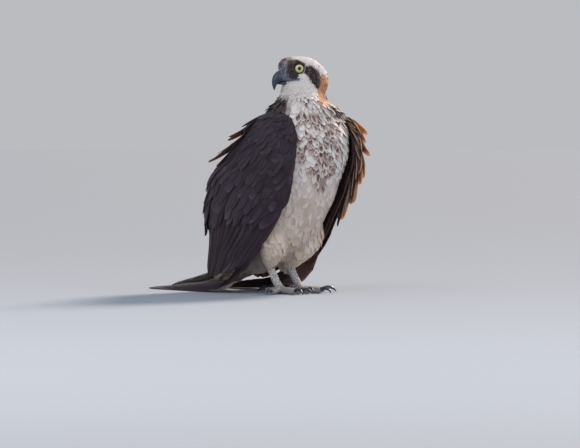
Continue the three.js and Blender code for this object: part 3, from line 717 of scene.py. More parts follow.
def small_feathers(roots, normals, ways, length, half, lift, bend, roll):
    """Points of many feathers, and the place across and along each, from one value for each feather."""
    u = VANE_ALONG[None, :, None]
    x = np.array([-1.0, 0.0, 1.0])[None, None, :]
    length, half, lift, bend, roll = (a[:, None, None] for a in (length, half, lift, bend, roll))
    across = np.cross(ways, normals)[:, None, None]
    wide = half * VANE_WIDE[None, :, None] * x
    height = lift * u**1.3 - bend * (length * u) ** 2 - 0.6 - 0.16 * np.abs(wide) + roll * wide
    forward = ways[:, None, None] * (length * u + 0 * x)[..., None]
    points = roots[:, None, None] + forward + across * wide[..., None]
    points = points + normals[:, None, None] * height[..., None]
    points[..., 2] = np.maximum(points[..., 2], GROUND_GAP)
    vane = np.stack(np.broadcast_arrays((x + 1) / 2, u + 0 * wide), -1)
    return points, vane


# %% One coat piece
BAKE_PATCH = 0.003  # size of each feather's patch on the map of its roots
BODY_BEND, HEAD_BEND = 1 / 260, 1 / 80


def coat_colours(tips):
    """One colour for the middle and one for the rim of each feather."""
    count = len(tips)
    base = plumage(tips)
    pale = ease(0.1, 0.4, base.mean(-1))[:, None]
    base = base * mix(rng.uniform(0.55, 1.7, (count, 1)), rng.uniform(0.9, 1.07, (count, 1)), pale)
    brown = (rng.random(count) < fleck_share(tips))[:, None]
    on_head = ease(330, 340, tips[:, 2])[:, None]
    middle = np.where(brown, mix(FLECK, BROWN * 0.7, on_head) * rng.uniform(0.5, 1.4, (count, 1)), base)
    edge = mix(FLECK * 2.0, base, rng.uniform(0.2, 1.0, (count, 1)))
    rim = np.where(brown, edge, base * mix(1.7, 1.03, pale))
    return middle, rim


def coat(name, chosen, width, ruffle):
    """A coat piece over chosen points of the skin."""
    roots, normals = skin_points[chosen], skin_normals[chosen]
    count = len(chosen)
    length = feather_length(roots) * rng.uniform(0.82, 1.2, count)
    ways = lie(roots, normals)
    ways = unit(ways + np.cross(ways, normals) * rng.normal(0, ruffle, count)[:, None])
    half = width * length * rng.uniform(0.8, 1.15, count)
    on_head = ease(318, 342, roots[:, 2])
    lift = feather_lift(roots) * rng.uniform(0.55, 1.4, count)
    roll = rng.normal(0, 0.09, count)
    bend = mix(BODY_BEND, HEAD_BEND, on_head)
    points, vane = small_feathers(roots, normals, ways, length, half, lift, bend, roll)
    place, angle = along_body(roots)
    down = mix(place * 0.8, (400 - roots[:, 2]) / 400 * 0.3, on_head)
    root_map = 0.02 + 0.96 * np.stack([angle, down], -1)
    bake = root_map[:, None, None] + (vane - 0.5) * BAKE_PATCH
    middle, rim = coat_colours(roots + ways * (0.55 * length)[:, None])
    shade = mix(0.86, 1.04, ease(0.1, 0.8, VANE_ALONG))[None, :, None, None]
    tint = middle[:, None, None] * shade + np.zeros((1, 1, 3, 1))
    edge = rim[:, None, None] * shade + np.zeros((1, 1, 3, 1))
    faces = grid_faces(count, len(VANE_ALONG), 3)
    return keep(make_mesh(name, points, faces, tint, vane, bake, edge), body_feather, "plumage_white")


# %% [markdown]
# ## Feather finish
# A vane is a row of barbs that leave the shaft at a slant. At this size that shows as a fine slanted
# grain, a thin shaft line and a soft, almost chalky surface. Two colours on the mesh carry the markings,
# one for the middle and one for the rim, and the grain comes from the place across and along the feather.

# %% Feather materials
TURN = 6.2832  # one full wave of a sine


def feather_paint(name, barbs, shaft, rim, grain=0.12, rough=0.8, sheen=0.1, thin=0.0):
    """A feather finish: how many barbs show, how dark the shaft is and where the rim starts."""
    paint = Paint(name, Sheen_Weight=sheen, Sheen_Roughness=0.5, Specular_IOR_Level=0.25,
                  Subsurface_Weight=thin, Subsurface_Scale=0.003, Subsurface_Radius=(1.0, 0.62, 0.38))
    across, along = abs(paint.uv("Vane", 0) * 2.0 - 1.0), paint.uv("Vane", 1)
    uneven = paint.noise(160.0, 2.0)
    comb = ((along - across * 0.35 + uneven * 0.06) * (barbs * TURN)).sine() * 0.5 + 0.5
    beside = (across + uneven * 0.2).step(rim, rim + 0.3)
    beyond = (along + uneven * 0.06).step(0.5 + rim / 2, 1.0)
    lit = paint.blend(beside.larger(beyond), paint.attribute("tint"), paint.attribute("rim"))
    lit = paint.blend(comb * grain, lit, (0.35, 0.3, 0.28, 1), "MULTIPLY")
    broad = paint.noise(38.0, 3.0)
    lit = paint.blend(broad.step(0.35, 0.75) * 0.18, lit, (0.6, 0.5, 0.45, 1), "MULTIPLY")
    line = (1.0 - across.step(0.02, 0.1)) * shaft
    lit = paint.blend(line, lit, (0.3, 0.22, 0.18, 1), "MULTIPLY")
    paint.set(Base_Color=lit, Roughness=rough - comb * 0.08)
    paint.bump(comb * 0.6 + uneven * 0.4, 0.35, 0.0006)
    return paint.material


body_feather = feather_paint("feather_body", 9.0, 0.12, 0.45)
wing_feather = feather_paint("feather_wing", 24.0, 0.45, 0.72, grain=0.35, rough=0.66, sheen=0.06, thin=0.35)

# %% [markdown]
# ## The coat
# On the real bird the lids, bill, cere and lower legs are bare, so no feather roots there. The rest of the
# skin is shared between six pieces, such as the fine feathers of the head and the loose ones of the breast.
# One piece would do, but then width and ruffle could not be chosen for each region.

# %% Where feathers may root
EYE_BARE = 11.8  # radius of the bare place round each eye
BARE_BELOW = 44  # the legs carry no feathers below this height
ROOT_SPACING = 0.19  # of a feather's length
skin_f, skin_l, skin_h = head_place(skin_points)
fit_for = (skin_points[:, 2] > BARE_BELOW) | ((skin_points[:, 1] > 40) & (skin_points[:, 2] > 4))
for side in (1, -1):
    fit_for &= np.linalg.norm(skin_points - eye_centre(side), axis=1) > EYE_BARE
up_bill, half_bill = -2.8 - 0.16 * np.maximum(skin_f - 44, 0) ** 1.3, 11.6
over_bill = np.hypot(skin_l / half_bill, (skin_h - up_bill) / half_bill)
fit_for &= ~((skin_f > 39) & (skin_points[:, 2] > 340) & (over_bill < 1.0))
fit_for &= ~((skin_f > 43) & (skin_h < -6) & (skin_points[:, 2] > 335))
usable = np.flatnonzero(fit_for)
chosen = usable[spaced(skin_points[usable], feather_length(skin_points[usable]) * ROOT_SPACING)]
print("feathers of the body:", len(chosen))

# %% Coat the body
z_of, y_of = skin_points[chosen, 2], skin_points[chosen, 1]
COATS = {  # piece: which roots it takes, width of its feathers, how much they stray
    "coat_head": (z_of > 338, 0.34, 0.12),
    "coat_throat": ((z_of <= 338) & (z_of > 306), 0.27, 0.17),
    "coat_breast": ((z_of <= 306) & (z_of > 206) & (y_of < -30), 0.27, 0.2),
    "coat_back": ((z_of <= 306) & (z_of > 206) & (y_of >= -30), 0.36, 0.1),
    "coat_belly": ((z_of <= 206) & (z_of > 110), 0.26, 0.1),
    "coat_legs": (z_of <= 110, 0.26, 0.11),
}
for name, (share, width, ruffle) in COATS.items():
    coat(name, chosen[share], width, ruffle)

# %% [markdown]
# ## Wings
# A folded wing is a cape of overlapping rows. Its surface is described by two shares: s from the shoulder
# to the tips and t from the front edge to the back edge. A feather is a small grid in those shares with a
# height above them, so neighbours follow the same curve and stack cleanly, front edge over back edge. A
# feather placed by hand would easily cut through its neighbours on such a strong curve.

# %% The cape that the wing feathers lie on
CAPE = [  # y, z, half width, half depth, angles of the front and back edges
    (-38, 298, 62, 16, 62, 150), (-35, 289, 78, 38, 44, 158), (-34, 277, 87, 52, 39, 165),
    (-31, 258, 94, 65, 37, 170), (-20, 236, 97, 80, 38, 174), (-6, 214, 98, 96, 38, 176),
    (14, 190, 98, 108, 37.5, 177), (24, 165, 97, 108, 37, 177), (34, 142, 95, 105, 37.5, 177),
    (41, 118, 90, 99, 42, 177), (45, 93, 83, 96, 53, 177), (54, 67, 77, 94, 65, 177),
    (66, 39, 74, 86, 68, 176), (78, 14, 71, 72, 74, 174),
]
CAPE_POWER = 2.7


def cape_point(s, t):
    rows = table_at(CAPE, np.clip(s, 0, 1) * (len(CAPE) - 1))
    y, z, half, deep, front, back = np.moveaxis(rows, -1, 0)
    turn = np.radians(mix(front, back, t))
    x = half * np.maximum(0.03, np.sin(turn)) ** (2 / CAPE_POWER)
    v = -deep * np.sign(np.cos(turn)) * np.abs(np.cos(turn)) ** (2 / CAPE_POWER)
    return np.stack([x, y + v, z + 0 * v], -1)


def cape_ways(s, t, e=0.012):
    s0, s1 = np.maximum(0, s - e), np.minimum(1, s + e)
    along = (cape_point(s1, t) - cape_point(s0, t)) / (s1 - s0)[..., None]
    across = (cape_point(s, t + e) - cape_point(s, t - e)) / (2 * e)
    return along, across


def over(s, t, h):
    """A point at height h over the left cape. Past the cape's end it goes straight on."""
    s, t, h = np.broadcast_arrays(*(np.asarray(a, float) for a in (s, t, h)))
    along, across = cape_ways(np.clip(s, 0, 1), t)
    past = along * np.maximum(s - 1, 0)[..., None]
    return cape_point(s, t) + past + unit(np.cross(along, across)) * h[..., None]


def on_side(points, side):
    return points * np.array([side, 1.0, 1.0])


def clear_ground(points):
    """Feathers are bent up where they would go into the ground."""
    low = points[..., 2].min(-1, keepdims=True)
    raised = np.where(low < GROUND_GAP, GROUND_GAP - low, 0.0)
    points[..., 2] += raised
    return points


# %% Shape of the long feathers
LONG_ALONG = np.array([0, 0.07, 0.2, 0.35, 0.5, 0.64, 0.76, 0.86, 0.93, 0.975, 1.0])
LONG_ACROSS = np.linspace(-1, 1, 5)


def wide_at(u, point):
    """Share of a feather's width at a share of its length, with a rounded tip of that length."""
    root = 0.45 + 0.55 * np.sin(math.pi / 2 * np.clip(u / 0.3, 0, 1))
    tip = np.sqrt(np.clip(1 - np.clip((u - (1 - point)) / point, 0, 1) ** 2.4, 0, 1))
    return root * np.maximum(tip, 0.06)


def cape_feathers(spec, side):
    """Points of many wing feathers. spec holds one array for each named size."""
    spec = {key: value[:, None, None] for key, value in spec.items()}
    u, x = LONG_ALONG[None, :, None], LONG_ACROSS[None, None, :]
    s = spec["s"] + spec["long"] * u + 0 * x
    t_line = spec["t"] + spec["drift"] * u + 0 * x
    wide = spec["half"] * wide_at(u, spec["point"])
    breadth = np.linalg.norm(cape_ways(np.clip(s, 0, 1), t_line)[1], axis=-1)
    t = t_line + x * wide / np.maximum(breadth, 20)
    grown = np.clip((u - 0.1) / 0.9, 0, 1)
    rooted = mix(-1.5, spec["rise"], u / 0.1)
    h = np.where(u < 0.1, rooted, mix(spec["rise"], spec["lift"], grown) + spec["curl"] * grown**2)
    h = h - spec["lean"] * wide * x - 0.05 * spec["half"] * x**2 + spec["wave"] * x * grown
    return clear_ground(on_side(over(s, t, h), side))


PLAIN_FEATHER = {  # sizes and shares that a feather has when its row says nothing else
    "drift": 0.0, "rise": 1.6, "curl": 0.0, "lean": 0.07, "wave": 0.0, "point": 0.35,
    "glow": 0.0, "brown": 0.0, "white": 0.0,
}


def specs(rows):
    """Turns a list of dicts, one for each feather, into one dict of arrays."""
    keys = ("s", "t", "long", "half", "lift", *PLAIN_FEATHER)
    return {key: np.array([float(row.get(key, PLAIN_FEATHER.get(key, 0))) for row in rows]) for key in keys}


# %% [markdown]
# ## Coverts and scapulars
# Coverts are the small feathers that roof the wing, in rows that grow longer towards the flight feathers.
# Scapulars are the looser ones that close the gap between wing and back. Every second row is shifted by
# half a feather, as tiles are, and small random changes of place, length and curl keep it from looking
# like tiles. On the left wing the first rows are pale, and the front edge carries painted backlight: it
# is made browner, with a rusty glow, as if warm light shone through it.

# %% Rows of coverts and scapulars
COVERT_ROWS, COVERT_END = 17, 0.455
SCAPULAR_ROWS, SCAPULAR_END = 11, 0.47


def covert_rows(side):
    """Small at the shoulder, larger towards the flight feathers."""
    made = []
    for r in range(COVERT_ROWS):
        share = r / (COVERT_ROWS - 1)
        count = round(mix(20, 23, ease(0, 0.3, share)) - 5 * share)
        start = mix(0.012, COVERT_END, share**1.08)
        top = float(ease(0.075, 0.03, start)) if side > 0 else 0.0
        for i in range(count):
            t = mix(0.02, 0.68, (i + 0.5 + (0.25 if r % 2 else -0.25)) / count)
            # front: the left wing's front edge, which gets painted backlight (browner, with a rusty glow) and
            # stands up more
            front = float(ease(0.17, 0.03, t)) if side > 0 else 0.0
            made.append({
                "s": start + rng.normal(0, 0.005), "t": t + rng.normal(0, 0.006),
                "long": mix(0.095, 0.24, share**1.4) * rng.uniform(0.88, 1.14),
                "half": mix(6.6, 12.5, share**1.3) * rng.uniform(0.88, 1.1),
                "lift": mix(3.4, 6.0, share) + rng.normal(0, 0.5) + 2.5 * front,
                "curl": rng.normal(0.2, 0.6) + 2 * front, "drift": rng.normal(0, 0.012),
                "wave": rng.normal(0, 0.5), "point": rng.uniform(0.3, 0.5), "glow": 0.3 * front,
                "brown": max(0.35 * share, 1.8 * front, 2.5 * top) * rng.uniform(0, 1),
                "white": top * rng.uniform(0.5, 1.0),
            })
    return made


def scapular_rows(side):
    """The loose feathers of the shoulder, over the wing's back edge."""
    made = []
    for r in range(SCAPULAR_ROWS):
        share = r / (SCAPULAR_ROWS - 1)
        start = mix(0.015, SCAPULAR_END, share)
        top = float(ease(0.09, 0.03, start)) if side > 0 else 0.0
        for i in range(8):
            t = mix(0.6, 0.99, (i + 0.5 + (0.25 if r % 2 else -0.25)) / 8)
            made.append({
                "s": start + rng.normal(0, 0.008), "t": t,
                "long": mix(0.14, 0.27, share) * rng.uniform(0.88, 1.15),
                "half": mix(9, 15, share) * rng.uniform(0.85, 1.1),
                "lift": mix(5.5, 8, share) + rng.normal(0.2, 0.9),
                "curl": abs(rng.normal(0, 1.0)), "drift": rng.normal(0, 0.02), "rise": 2.2,
                "wave": rng.normal(0, 0.9), "point": rng.uniform(0.35, 0.6), "brown": 0.4 * rng.uniform(0, 1),
                "white": top * rng.uniform(0.5, 1.0),
            })
    return made


# %% [markdown]
# ## Secondaries and loose feathers
# The secondaries are the broad flight feathers of the forearm. Folded, they lie like a closed fan, and the
# inner ones are shorter, where they end over the tail. A few loose feathers stand up in the wind at both
# shoulders. Each tuft is one row of a table: a feather that stands highest and lower ones round it.

# %% Flight feathers and the loose ones
SECONDARY_COUNT = 22


def secondary_reach(share):
    """The inner secondaries are shorter, where they lie over the tail."""
    return mix(0.84, 1.0, share) - 0.3 * float(ease(0.62, 1.0, share))


def secondary_rows():
    made = []
    for i in range(SECONDARY_COUNT):
        share = i / (SECONDARY_COUNT - 1)
        made.append({
            "s": 0.5, "t": mix(0.06, 0.93, share),
            "long": 0.5 * secondary_reach(share) * rng.uniform(0.96, 1.03),
            "half": 16.5, "lift": 2.6 + rng.normal(0, 0.3), "lean": 0.1, "point": 0.22,
            "wave": rng.normal(0, 0.3),
            "brown": mix(0.25, 1.0, float(ease(0.2, 0.6, share))) * rng.uniform(0.5, 1),
        })
    return made


TUFTS = {  # s, t, length, half width, lift, curl, lean, count of the loose feathers that the wind lifts
    -1: [(0.09, 0.60, 0.12, 7.5, 10, 6, 0.5, 4), (0.13, 0.61, 0.16, 8.5, 15, 8, 0.5, 4),
         (0.22, 0.64, 0.20, 9.5, 16, 8, 0.5, 4)],
    1: [(0.12, 0.08, 0.13, 8.5, 14, 8, 1.0, 4), (0.21, 0.08, 0.14, 9.0, 14, 9, 1.0, 4),
        (0.31, 0.08, 0.15, 9.5, 12, 8, 1.0, 4), (0.42, 0.08, 0.16, 9.5, 10, 6, 1.0, 4),
        (0.52, 0.09, 0.16, 9.0, 6, 4, 0.8, 3)],
}


def tuft_rows(side):
    made = []
    for s, t, long, half, lift, curl, lean, count in TUFTS[side]:
        for k in range(count):
            share = 1.0 if k == 0 else rng.uniform(0.35, 0.95)
            # glow is painted backlight through the loose feathers: strong on the left wing, faint on the
            # right
            made.append({
                "s": s + (k > 0) * rng.normal(0, 0.024), "t": t + (k > 0) * rng.normal(0, 0.015),
                "long": long * rng.uniform(0.85, 1.03), "half": half * rng.uniform(0.8, 1.02),
                "lift": lift * share, "curl": curl * share, "lean": lean * rng.uniform(0.75, 1.1), "rise": 3,
                "wave": rng.normal(0, 0.8), "point": rng.uniform(0.5, 0.7),
                "glow": rng.uniform(0.45, 1.0) if side > 0 else 0.12, "brown": 0.4,
            })
    return made


# %% [markdown]
# ## Wing colours
# The wings are a cool, nearly black brown. Worn edges are a little paler, the inner secondaries are
# warmer, and the loose feathers of the left wing glow rusty where light comes through them. One middle and
# one rim colour for each point of a feather give all of that without a picture.

# %% Colours of the wing feathers
WING_BASE = np.array([0.0340, 0.0225, 0.0380])
WING_BROWN = np.array([0.060, 0.033, 0.027])
WING_RIM = np.array([0.034, 0.024, 0.034])
TIP_RIM = np.array([0.34, 0.25, 0.20])
GLOW_RIM = np.array([0.86, 0.56, 0.38])


def wing_colours(spec):
    """The middle and the rim colour on each point of many feathers, dark with a few paler edges, plus painted
    backlight on glowing feathers.
    """
    count = len(spec["s"])
    u = LONG_ALONG[None, :, None, None]
    glow, brown = spec["glow"][:, None, None, None], spec["brown"][:, None, None, None]
    vary = rng.uniform(0.75, 1.4, (count, 1, 1, 1))
    pale = (rng.random((count, 1, 1, 1)) < 0.12 + 0.3 * brown) * 1.0
    middle = mix(WING_BASE, WING_BROWN, brown) * vary
    rim = mix(WING_RIM, WING_RIM * 1.8, pale) * vary
    rim = mix(rim, TIP_RIM, 0.8 * pale * brown * ease(0.9, 1.0, u))
    # painted backlight: glowing feathers turn rusty towards the tip and their rims pale orange, as if warm
    # light came through them
    lit = glow * rng.uniform(0.55, 1.0, (count, 1, 1, 1)) * ease(0.2, 0.6, u)
    middle = mix(middle, BACKLIT_RUST, lit)
    white = spec["white"][:, None, None, None]
    middle, rim = mix(middle, CREAM * 0.8, white), mix(rim, WHITE, white)
    rim = mix(rim, GLOW_RIM, np.clip(glow * 1.3, 0, 1) * ease(0.3, 0.6, u))
    across = np.ones((1, 1, len(LONG_ACROSS), 1))
    return middle * across, rim * across


# %% [markdown]
# ## Primaries and the bed of the wing
# The long outer quills are stacked into one narrow blade that crosses the secondaries and points back
# beside the tail, where it rests on the ground. They follow one path in space, each a little shorter than
# the one before and set a little to its side. A thin closed bed under all rows stands for the flesh of
# the wing, so that no light shows between feathers.

# %% Path of the primaries
PRIMARY_COUNT = 8
PRIMARY_PATH = np.array([
    over(0.5, 0.1, -4), over(0.64, 0.09, -8), over(0.8, 0.08, -8),
    (71, 48, 30), (69, 88, 9.5), (65, 165, 5), (61, 284, 1.6),
])


def path_at(path, share):
    """Points and ways along a smooth path through a few points, by share of its length."""
    fine = smooth(path, 240)
    gone = np.concatenate([[0], np.cumsum(np.linalg.norm(np.diff(fine, axis=0), axis=1))])
    at = np.stack([np.interp(np.asarray(share) * gone[-1], gone, fine[:, k]) for k in range(3)], -1)
    ways = unit(np.gradient(fine, axis=0))
    way = np.stack([np.interp(np.asarray(share) * gone[-1], gone, ways[:, k]) for k in range(3)], -1)
    return at, unit(way)


# %% Shape of the primaries
PRIMARY_ALONG = np.array([
    0, 0.08, 0.16, 0.24, 0.32, 0.39, 0.46, 0.53, 0.6, 0.68, 0.77, 0.86, 0.93, 0.975, 1.0,
])


def primary_points(count, side):
    """Stacked quills that run back and down to lie on the ground beside the tail."""
    u = PRIMARY_ALONG
    upright = unit(cape_ways(np.array(0.5), np.array(0.1))[1])
    flat = unit(np.array([-0.97, 0, 0.24]))
    made = []
    for i in range(count):
        share = u * (1 - 0.045 * i)
        at, along = path_at(PRIMARY_PATH, share)
        lean = mix(upright, flat, ease(0.1, 0.6, share)[:, None])
        up = unit(np.cross(along, lean))
        across = unit(np.cross(up, along))
        apart = mix(0.3, 1.0, ease(0, 0.2, share)) * i
        wide = (15.5 * wide_at(u, 0.3))[:, None] * LONG_ACROSS
        sunk = apart[:, None] - 0.05 * np.abs(wide * LONG_ACROSS)
        outward = across[:, None] * (2.0 * i + wide)[..., None]
        made.append(at[:, None] + up[:, None] * sunk[..., None] + outward)
    return clear_ground(on_side(np.array(made), side))


# %% Long feathers as solid vanes
def vane_places(count, along):
    """Place across and along the feather for each point of many feathers."""
    across, down = np.broadcast_arrays((LONG_ACROSS + 1) / 2, along[:, None])
    return np.broadcast_to(np.stack([across, down], -1), (count, *across.shape, 2))


def thick_feathers(name, points, tint, rim, vane, roots, thickness=0.0004):
    """A mesh of many long feathers, each a thin solid vane."""
    bake = 0.02 + 0.9 * roots[:, None, None] + (vane - 0.5) * BAKE_PATCH
    faces = grid_faces(len(points), points.shape[1], points.shape[2])
    thing = make_mesh(name, points, faces, tint, vane, bake, rim)
    thick = thing.modifiers.new("thick", "SOLIDIFY")
    thick.thickness, thick.offset = thickness, 0.0
    apply_modifiers(thing)
    return thing


def cape_piece(name, rows, side):
    """One mesh of feathers that lie over the cape."""
    spec = specs(rows)
    middle, rim = wing_colours(spec)
    vane = vane_places(len(rows), LONG_ALONG)
    roots = np.stack([np.clip(spec["t"], 0, 1), np.clip(spec["s"], 0, 1) * 0.85], -1)
    return thick_feathers(name, cape_feathers(spec, side), middle, rim, vane, roots)


def primary_piece(name, side):
    """The long quills of one wing."""
    count = PRIMARY_COUNT
    vary = rng.uniform(0.8, 1.3, (count, 1, 1, 1)) * np.ones((1, len(PRIMARY_ALONG), len(LONG_ACROSS), 1))
    roots = np.stack([0.05 + 0.11 * np.arange(count), np.full(count, 0.95)], -1)
    vane = vane_places(count, PRIMARY_ALONG)
    points = primary_points(count, side)
    # painted backlight: the left primaries take a lighter warm brown, while the right ones stay the wing's
    # slate colour
    tone = WING_BROWN * 1.6 if side > 0 else WING_BASE
    return thick_feathers(name, points, tone * vary, mix(WING_RIM, tone, 0.5) * vary, vane, roots)


def wing_bed(name, side):
    """The flesh of the wing under its feathers, as a thin closed shell."""
    s = np.linspace(0.0, 0.86, 30)[:, None]
    t = np.linspace(0.03, 0.98, 34)[None, :]
    outer, inner = over(s, t, -1.0), over(s, t, -4.0)
    rings = np.concatenate([outer, inner[:, ::-1]], 1)
    points, faces = loft(clear_ground(on_side(rings, side)))
    # painted light: the left bed is lightened to warm brown against the shade it lies in; the right one stays
    # the wing's dark colour
    tint = np.broadcast_to(WING_BROWN * 2.6 if side > 0 else WING_BASE, points.shape)
    vane = np.full((len(points), 2), 0.25)
    return make_mesh(name, points, faces, tint, vane, None, tint)


# %% Dress both wings
for label, side in SIDES:
    flight = secondary_rows() + tuft_rows(side)
    wing = cape_piece("feathers_wing_" + label, flight, side)
    keep(wing, wing_feather, "plumage_brown", "wing_" + label)
    keep(cape_piece("coverts_wing_" + label, covert_rows(side), side), wing_feather, "plumage_brown")
    keep(cape_piece("scapulars_" + label, scapular_rows(side), side), wing_feather, "plumage_brown")
    keep(primary_piece("primaries_" + label, side), wing_feather, "plumage_brown")
    keep(wing_bed("bed_wing_" + label, side), wing_feather, "plumage_brown")

# %% [markdown]
# ## Tail
# Twelve tail feathers lie in a closed fan, the middle pair on top. Pale bars cross their inner webs. The
# upper tail coverts hide their roots. Each feather is placed by its number from the middle, and the bars
# are waves along the vane, because they have to end at each feather's own edge.

# %% Sizes of the tail
TAIL_ROOT, TAIL_LENGTH = np.array([0, 96, 50.0]), 184.0
TAIL_TIP = np.array([0, 96 + math.sqrt(TAIL_LENGTH**2 - 48**2), 2.0])
TAIL_COUNT = 12
TAIL_COVERTS = [(128, 9, 52), (112, 9, 46), (98, 8, 40)]  # y of the roots, count, length
TAIL_TINT = np.array([0.085, 0.055, 0.045])
print("tail feathers and coverts:", TAIL_COUNT, sum(row[1] for row in TAIL_COVERTS))


# %% Tail feathers
def tail_fan():
    """The long feathers, the middle pair on top."""
    u, x = LONG_ALONG, LONG_ACROSS
    made = []
    for j in range(TAIL_COUNT):
        off = j - (TAIL_COUNT - 1) / 2
        depth = abs(off) + (0.5 if off > 0 else 0)
        along = unit(TAIL_TIP - TAIL_ROOT + np.array([off * 1.6, 0, 0]))
        across = unit(np.array([1.0, 0, 0]) - along * along[0])
        up = np.cross(across, along)
        bow = (6.2 - depth) * 1.15 - 4 * np.sin(math.pi * u)
        shift = np.stack([off * mix(2.1, 4.2, u), 0 * u, bow], -1)
        at = TAIL_ROOT + (TAIL_TIP - TAIL_ROOT) * (u * (1 - 0.01 * depth))[:, None] + shift
        wide = (15.0 * wide_at(u, 0.14))[:, None] * x
        made.append(at[:, None] + across * wide[..., None] + up * (0.4 - 0.03 * np.abs(wide * x))[..., None])
    return made


def tail_covert_rows():
    """Three rows of coverts over the roots of the fan."""
    u, x = LONG_ALONG, LONG_ACROSS
    made = []
    for y, count, long in TAIL_COVERTS:
        for i in range(count):
            off = (i - (count - 1) / 2) * 44 / count
            at = np.array([off, y, 66 - (y - 92) * 0.42 - 0.022 * off**2])
            way = unit(np.array([off * 0.006, 1, -0.34]))
            line = at + way * (u * long * rng.uniform(0.9, 1.1))[:, None] + UP * (1.5 * u)[:, None]
            across = unit(np.array([1.0, 0, -0.02 * off]))
            made.append(line[:, None] + across * ((9 * wide_at(u, 0.4))[:, None] * x)[..., None])
    return made


def tail_piece():
    points = clear_ground(np.array(tail_fan() + tail_covert_rows()))
    count = len(points)
    roots = np.stack([0.1 + 0.8 * np.arange(count) / count, np.full(count, 0.5)], -1)
    tint = TAIL_TINT * rng.uniform(0.85, 1.2, (count, 1, 1, 1)) * np.ones((*points.shape[:-1], 1))
    tint[TAIL_COUNT:] *= 0.4
    vane = vane_places(count, LONG_ALONG)
    return thick_feathers("feathers_tail", points, tint, tint * 1.8, vane, roots, thickness=0.0005)


# %% Barred finish of the tail
TAIL_BARS, TAIL_BARBS = 6.0, 46.0


def tail_paint():
    paint = Paint("feather_tail", Roughness=0.65, Sheen_Weight=0.3, Specular_IOR_Level=0.3)
    across, along = abs(paint.uv("Vane", 0) * 2.0 - 1.0), paint.uv("Vane", 1)
    ragged = paint.noise(90.0, 2.0)
    bars = ((along + ragged * 0.03 + across * 0.02) * (TAIL_BARS * TURN)).sine().step(-0.1, 0.35)
    pale = bars * across.step(0.12, 0.3) * along.step(0.12, 0.2) * (1.0 - along.step(0.9, 0.94))
    tint = paint.blend(pale * 0.75, paint.attribute("tint"), (0.32, 0.22, 0.17, 1))
    comb = ((along - across * 0.2) * (TAIL_BARBS * TURN)).sine() * 0.5 + 0.5
    tint = paint.blend(comb * 0.25, tint, (0.4, 0.34, 0.3, 1), "MULTIPLY")
    edge = along.step(0.965, 0.99)
    paint.set(Base_Color=paint.blend(edge * 0.7, tint, (0.5, 0.42, 0.35, 1)))
    paint.bump(comb, 0.3, 0.0006)
    return paint.material


keep(tail_piece(), tail_paint(), "plumage_tail", "tail")

# %% [markdown]
# ## Bill, cere and mouth
# The bill is glossy blue-black horn with a long hook. Its base is wrapped in a blue-grey, waxy cere with a
# slit for each nostril, and a soft strip of the same skin runs back along the mouth to below the eye.
# Rings follow the curve of the ridge, as in the solids, only many more. The slit is pressed into the cere's
# own points, because a cut made with a boolean would leave a hard edge in a soft skin. Its hollow is
# painted near black, as painted shade for the inside of the nostril.

# %% Bill sizes
BILL = [  # forward, up, half width, half height, pitch
    (38, -2.6, 10.8, 10.6, 0), (44, -2.8, 9.9, 10.2, 2), (50, -4.4, 8.6, 9.3, 14), (55.6, -8.2, 6.8, 7.6, 36),
    (59, -13.8, 4.8, 5.4, 62), (60.4, -20.2, 2.9, 3.2, 82), (60, -27.2, 0.5, 0.6, 96),
]
LOWER_BILL = [(38, -15, 7.6, 3.6), (44, -15.2, 7, 3.2), (50, -15.8, 5.4, 2.4), (54.5, -16.2, 3, 1.3)]
GAPE = [  # forward, to the side, up, radius along the edge of the mouth
    (47, 7.6, -9.4, 1.4), (42, 9.6, -9.0, 2.7), (34, 15.2, -9.3, 2.9),
    (29, 18, -9.5, 2.4), (25.5, 19.3, -9.5, 1.0),
]
CERE_END = 50.5
NOSTRIL = [(48.7, -1.0), (48.1, 1.3), (47.5, 3.8)]  # forward and up, along the slit


def bill_rings(rows, count, sides):
    made = []
    for f, h, half, deep, pitch in smooth(rows, count):
        v = UP * math.cos(math.radians(pitch)) + HEAD_AXIS * math.sin(math.radians(pitch))
        made.append(ring(head_point(f, 0, h), HEAD_SIDE, v, half, deep, deep, sides, 2.3))
    return np.array(made)


# %% Cere and nostrils
CERE_BLUE, NOSTRIL_SHADE = np.array([0.105, 0.115, 0.17]), np.array([0.010, 0.010, 0.014])
all_rings = bill_rings(BILL, 110, 56)
forward = head_place(all_rings)[0].mean(1)
cut = int(np.searchsorted(forward, CERE_END))
cere_points, cere_faces = loft(all_rings[: cut + 1])
cere_f, cere_l, cere_h = head_place(cere_points)
from_slit = np.min([np.hypot((cere_f - f) * 1.6, cere_h - h) for f, h in smooth(NOSTRIL, 9)], 0)
hollow = ease(1.5, 0.7, from_slit) * ease(3, 5, np.abs(cere_l))
swell = 0.35 * ease(CERE_END, CERE_END - 2.5, cere_f) - 0.5 * ease(CERE_END - 0.8, CERE_END, cere_f)
outward = unit(cere_points - head_point(cere_f, 0 * cere_f, -4 + 0 * cere_f))
cere_points += outward * swell[:, None] - (np.sign(cere_l) * 1.8 * hollow)[:, None] * HEAD_SIDE
# painted shade: the slit's hollow is coloured near black for the shade inside the nostril
cere_tint = mix(CERE_BLUE, NOSTRIL_SHADE, hollow[:, None])
print("points in the nostrils:", int((hollow > 0.5).sum()))

# %% Finish of the cere and the mouth's edge
MOUTH_BLUE = np.array([0.095, 0.10, 0.145])
cere_paint = Paint("cere_skin", Specular_IOR_Level=0.5)
pores = cere_paint.noise(900.0, 3.0)
tone = cere_paint.blend(0.5 * pores, cere_paint.attribute("tint"), (0.5, 0.5, 0.55, 1), "MULTIPLY")
cere_paint.set(Base_Color=tone, Roughness=0.4 + 0.2 * pores)
cere_paint.bump(pores, 0.4, 0.0005)
keep(make_mesh("cere_wax", cere_points, cere_faces, cere_tint), cere_paint.material, "cere", "cere")

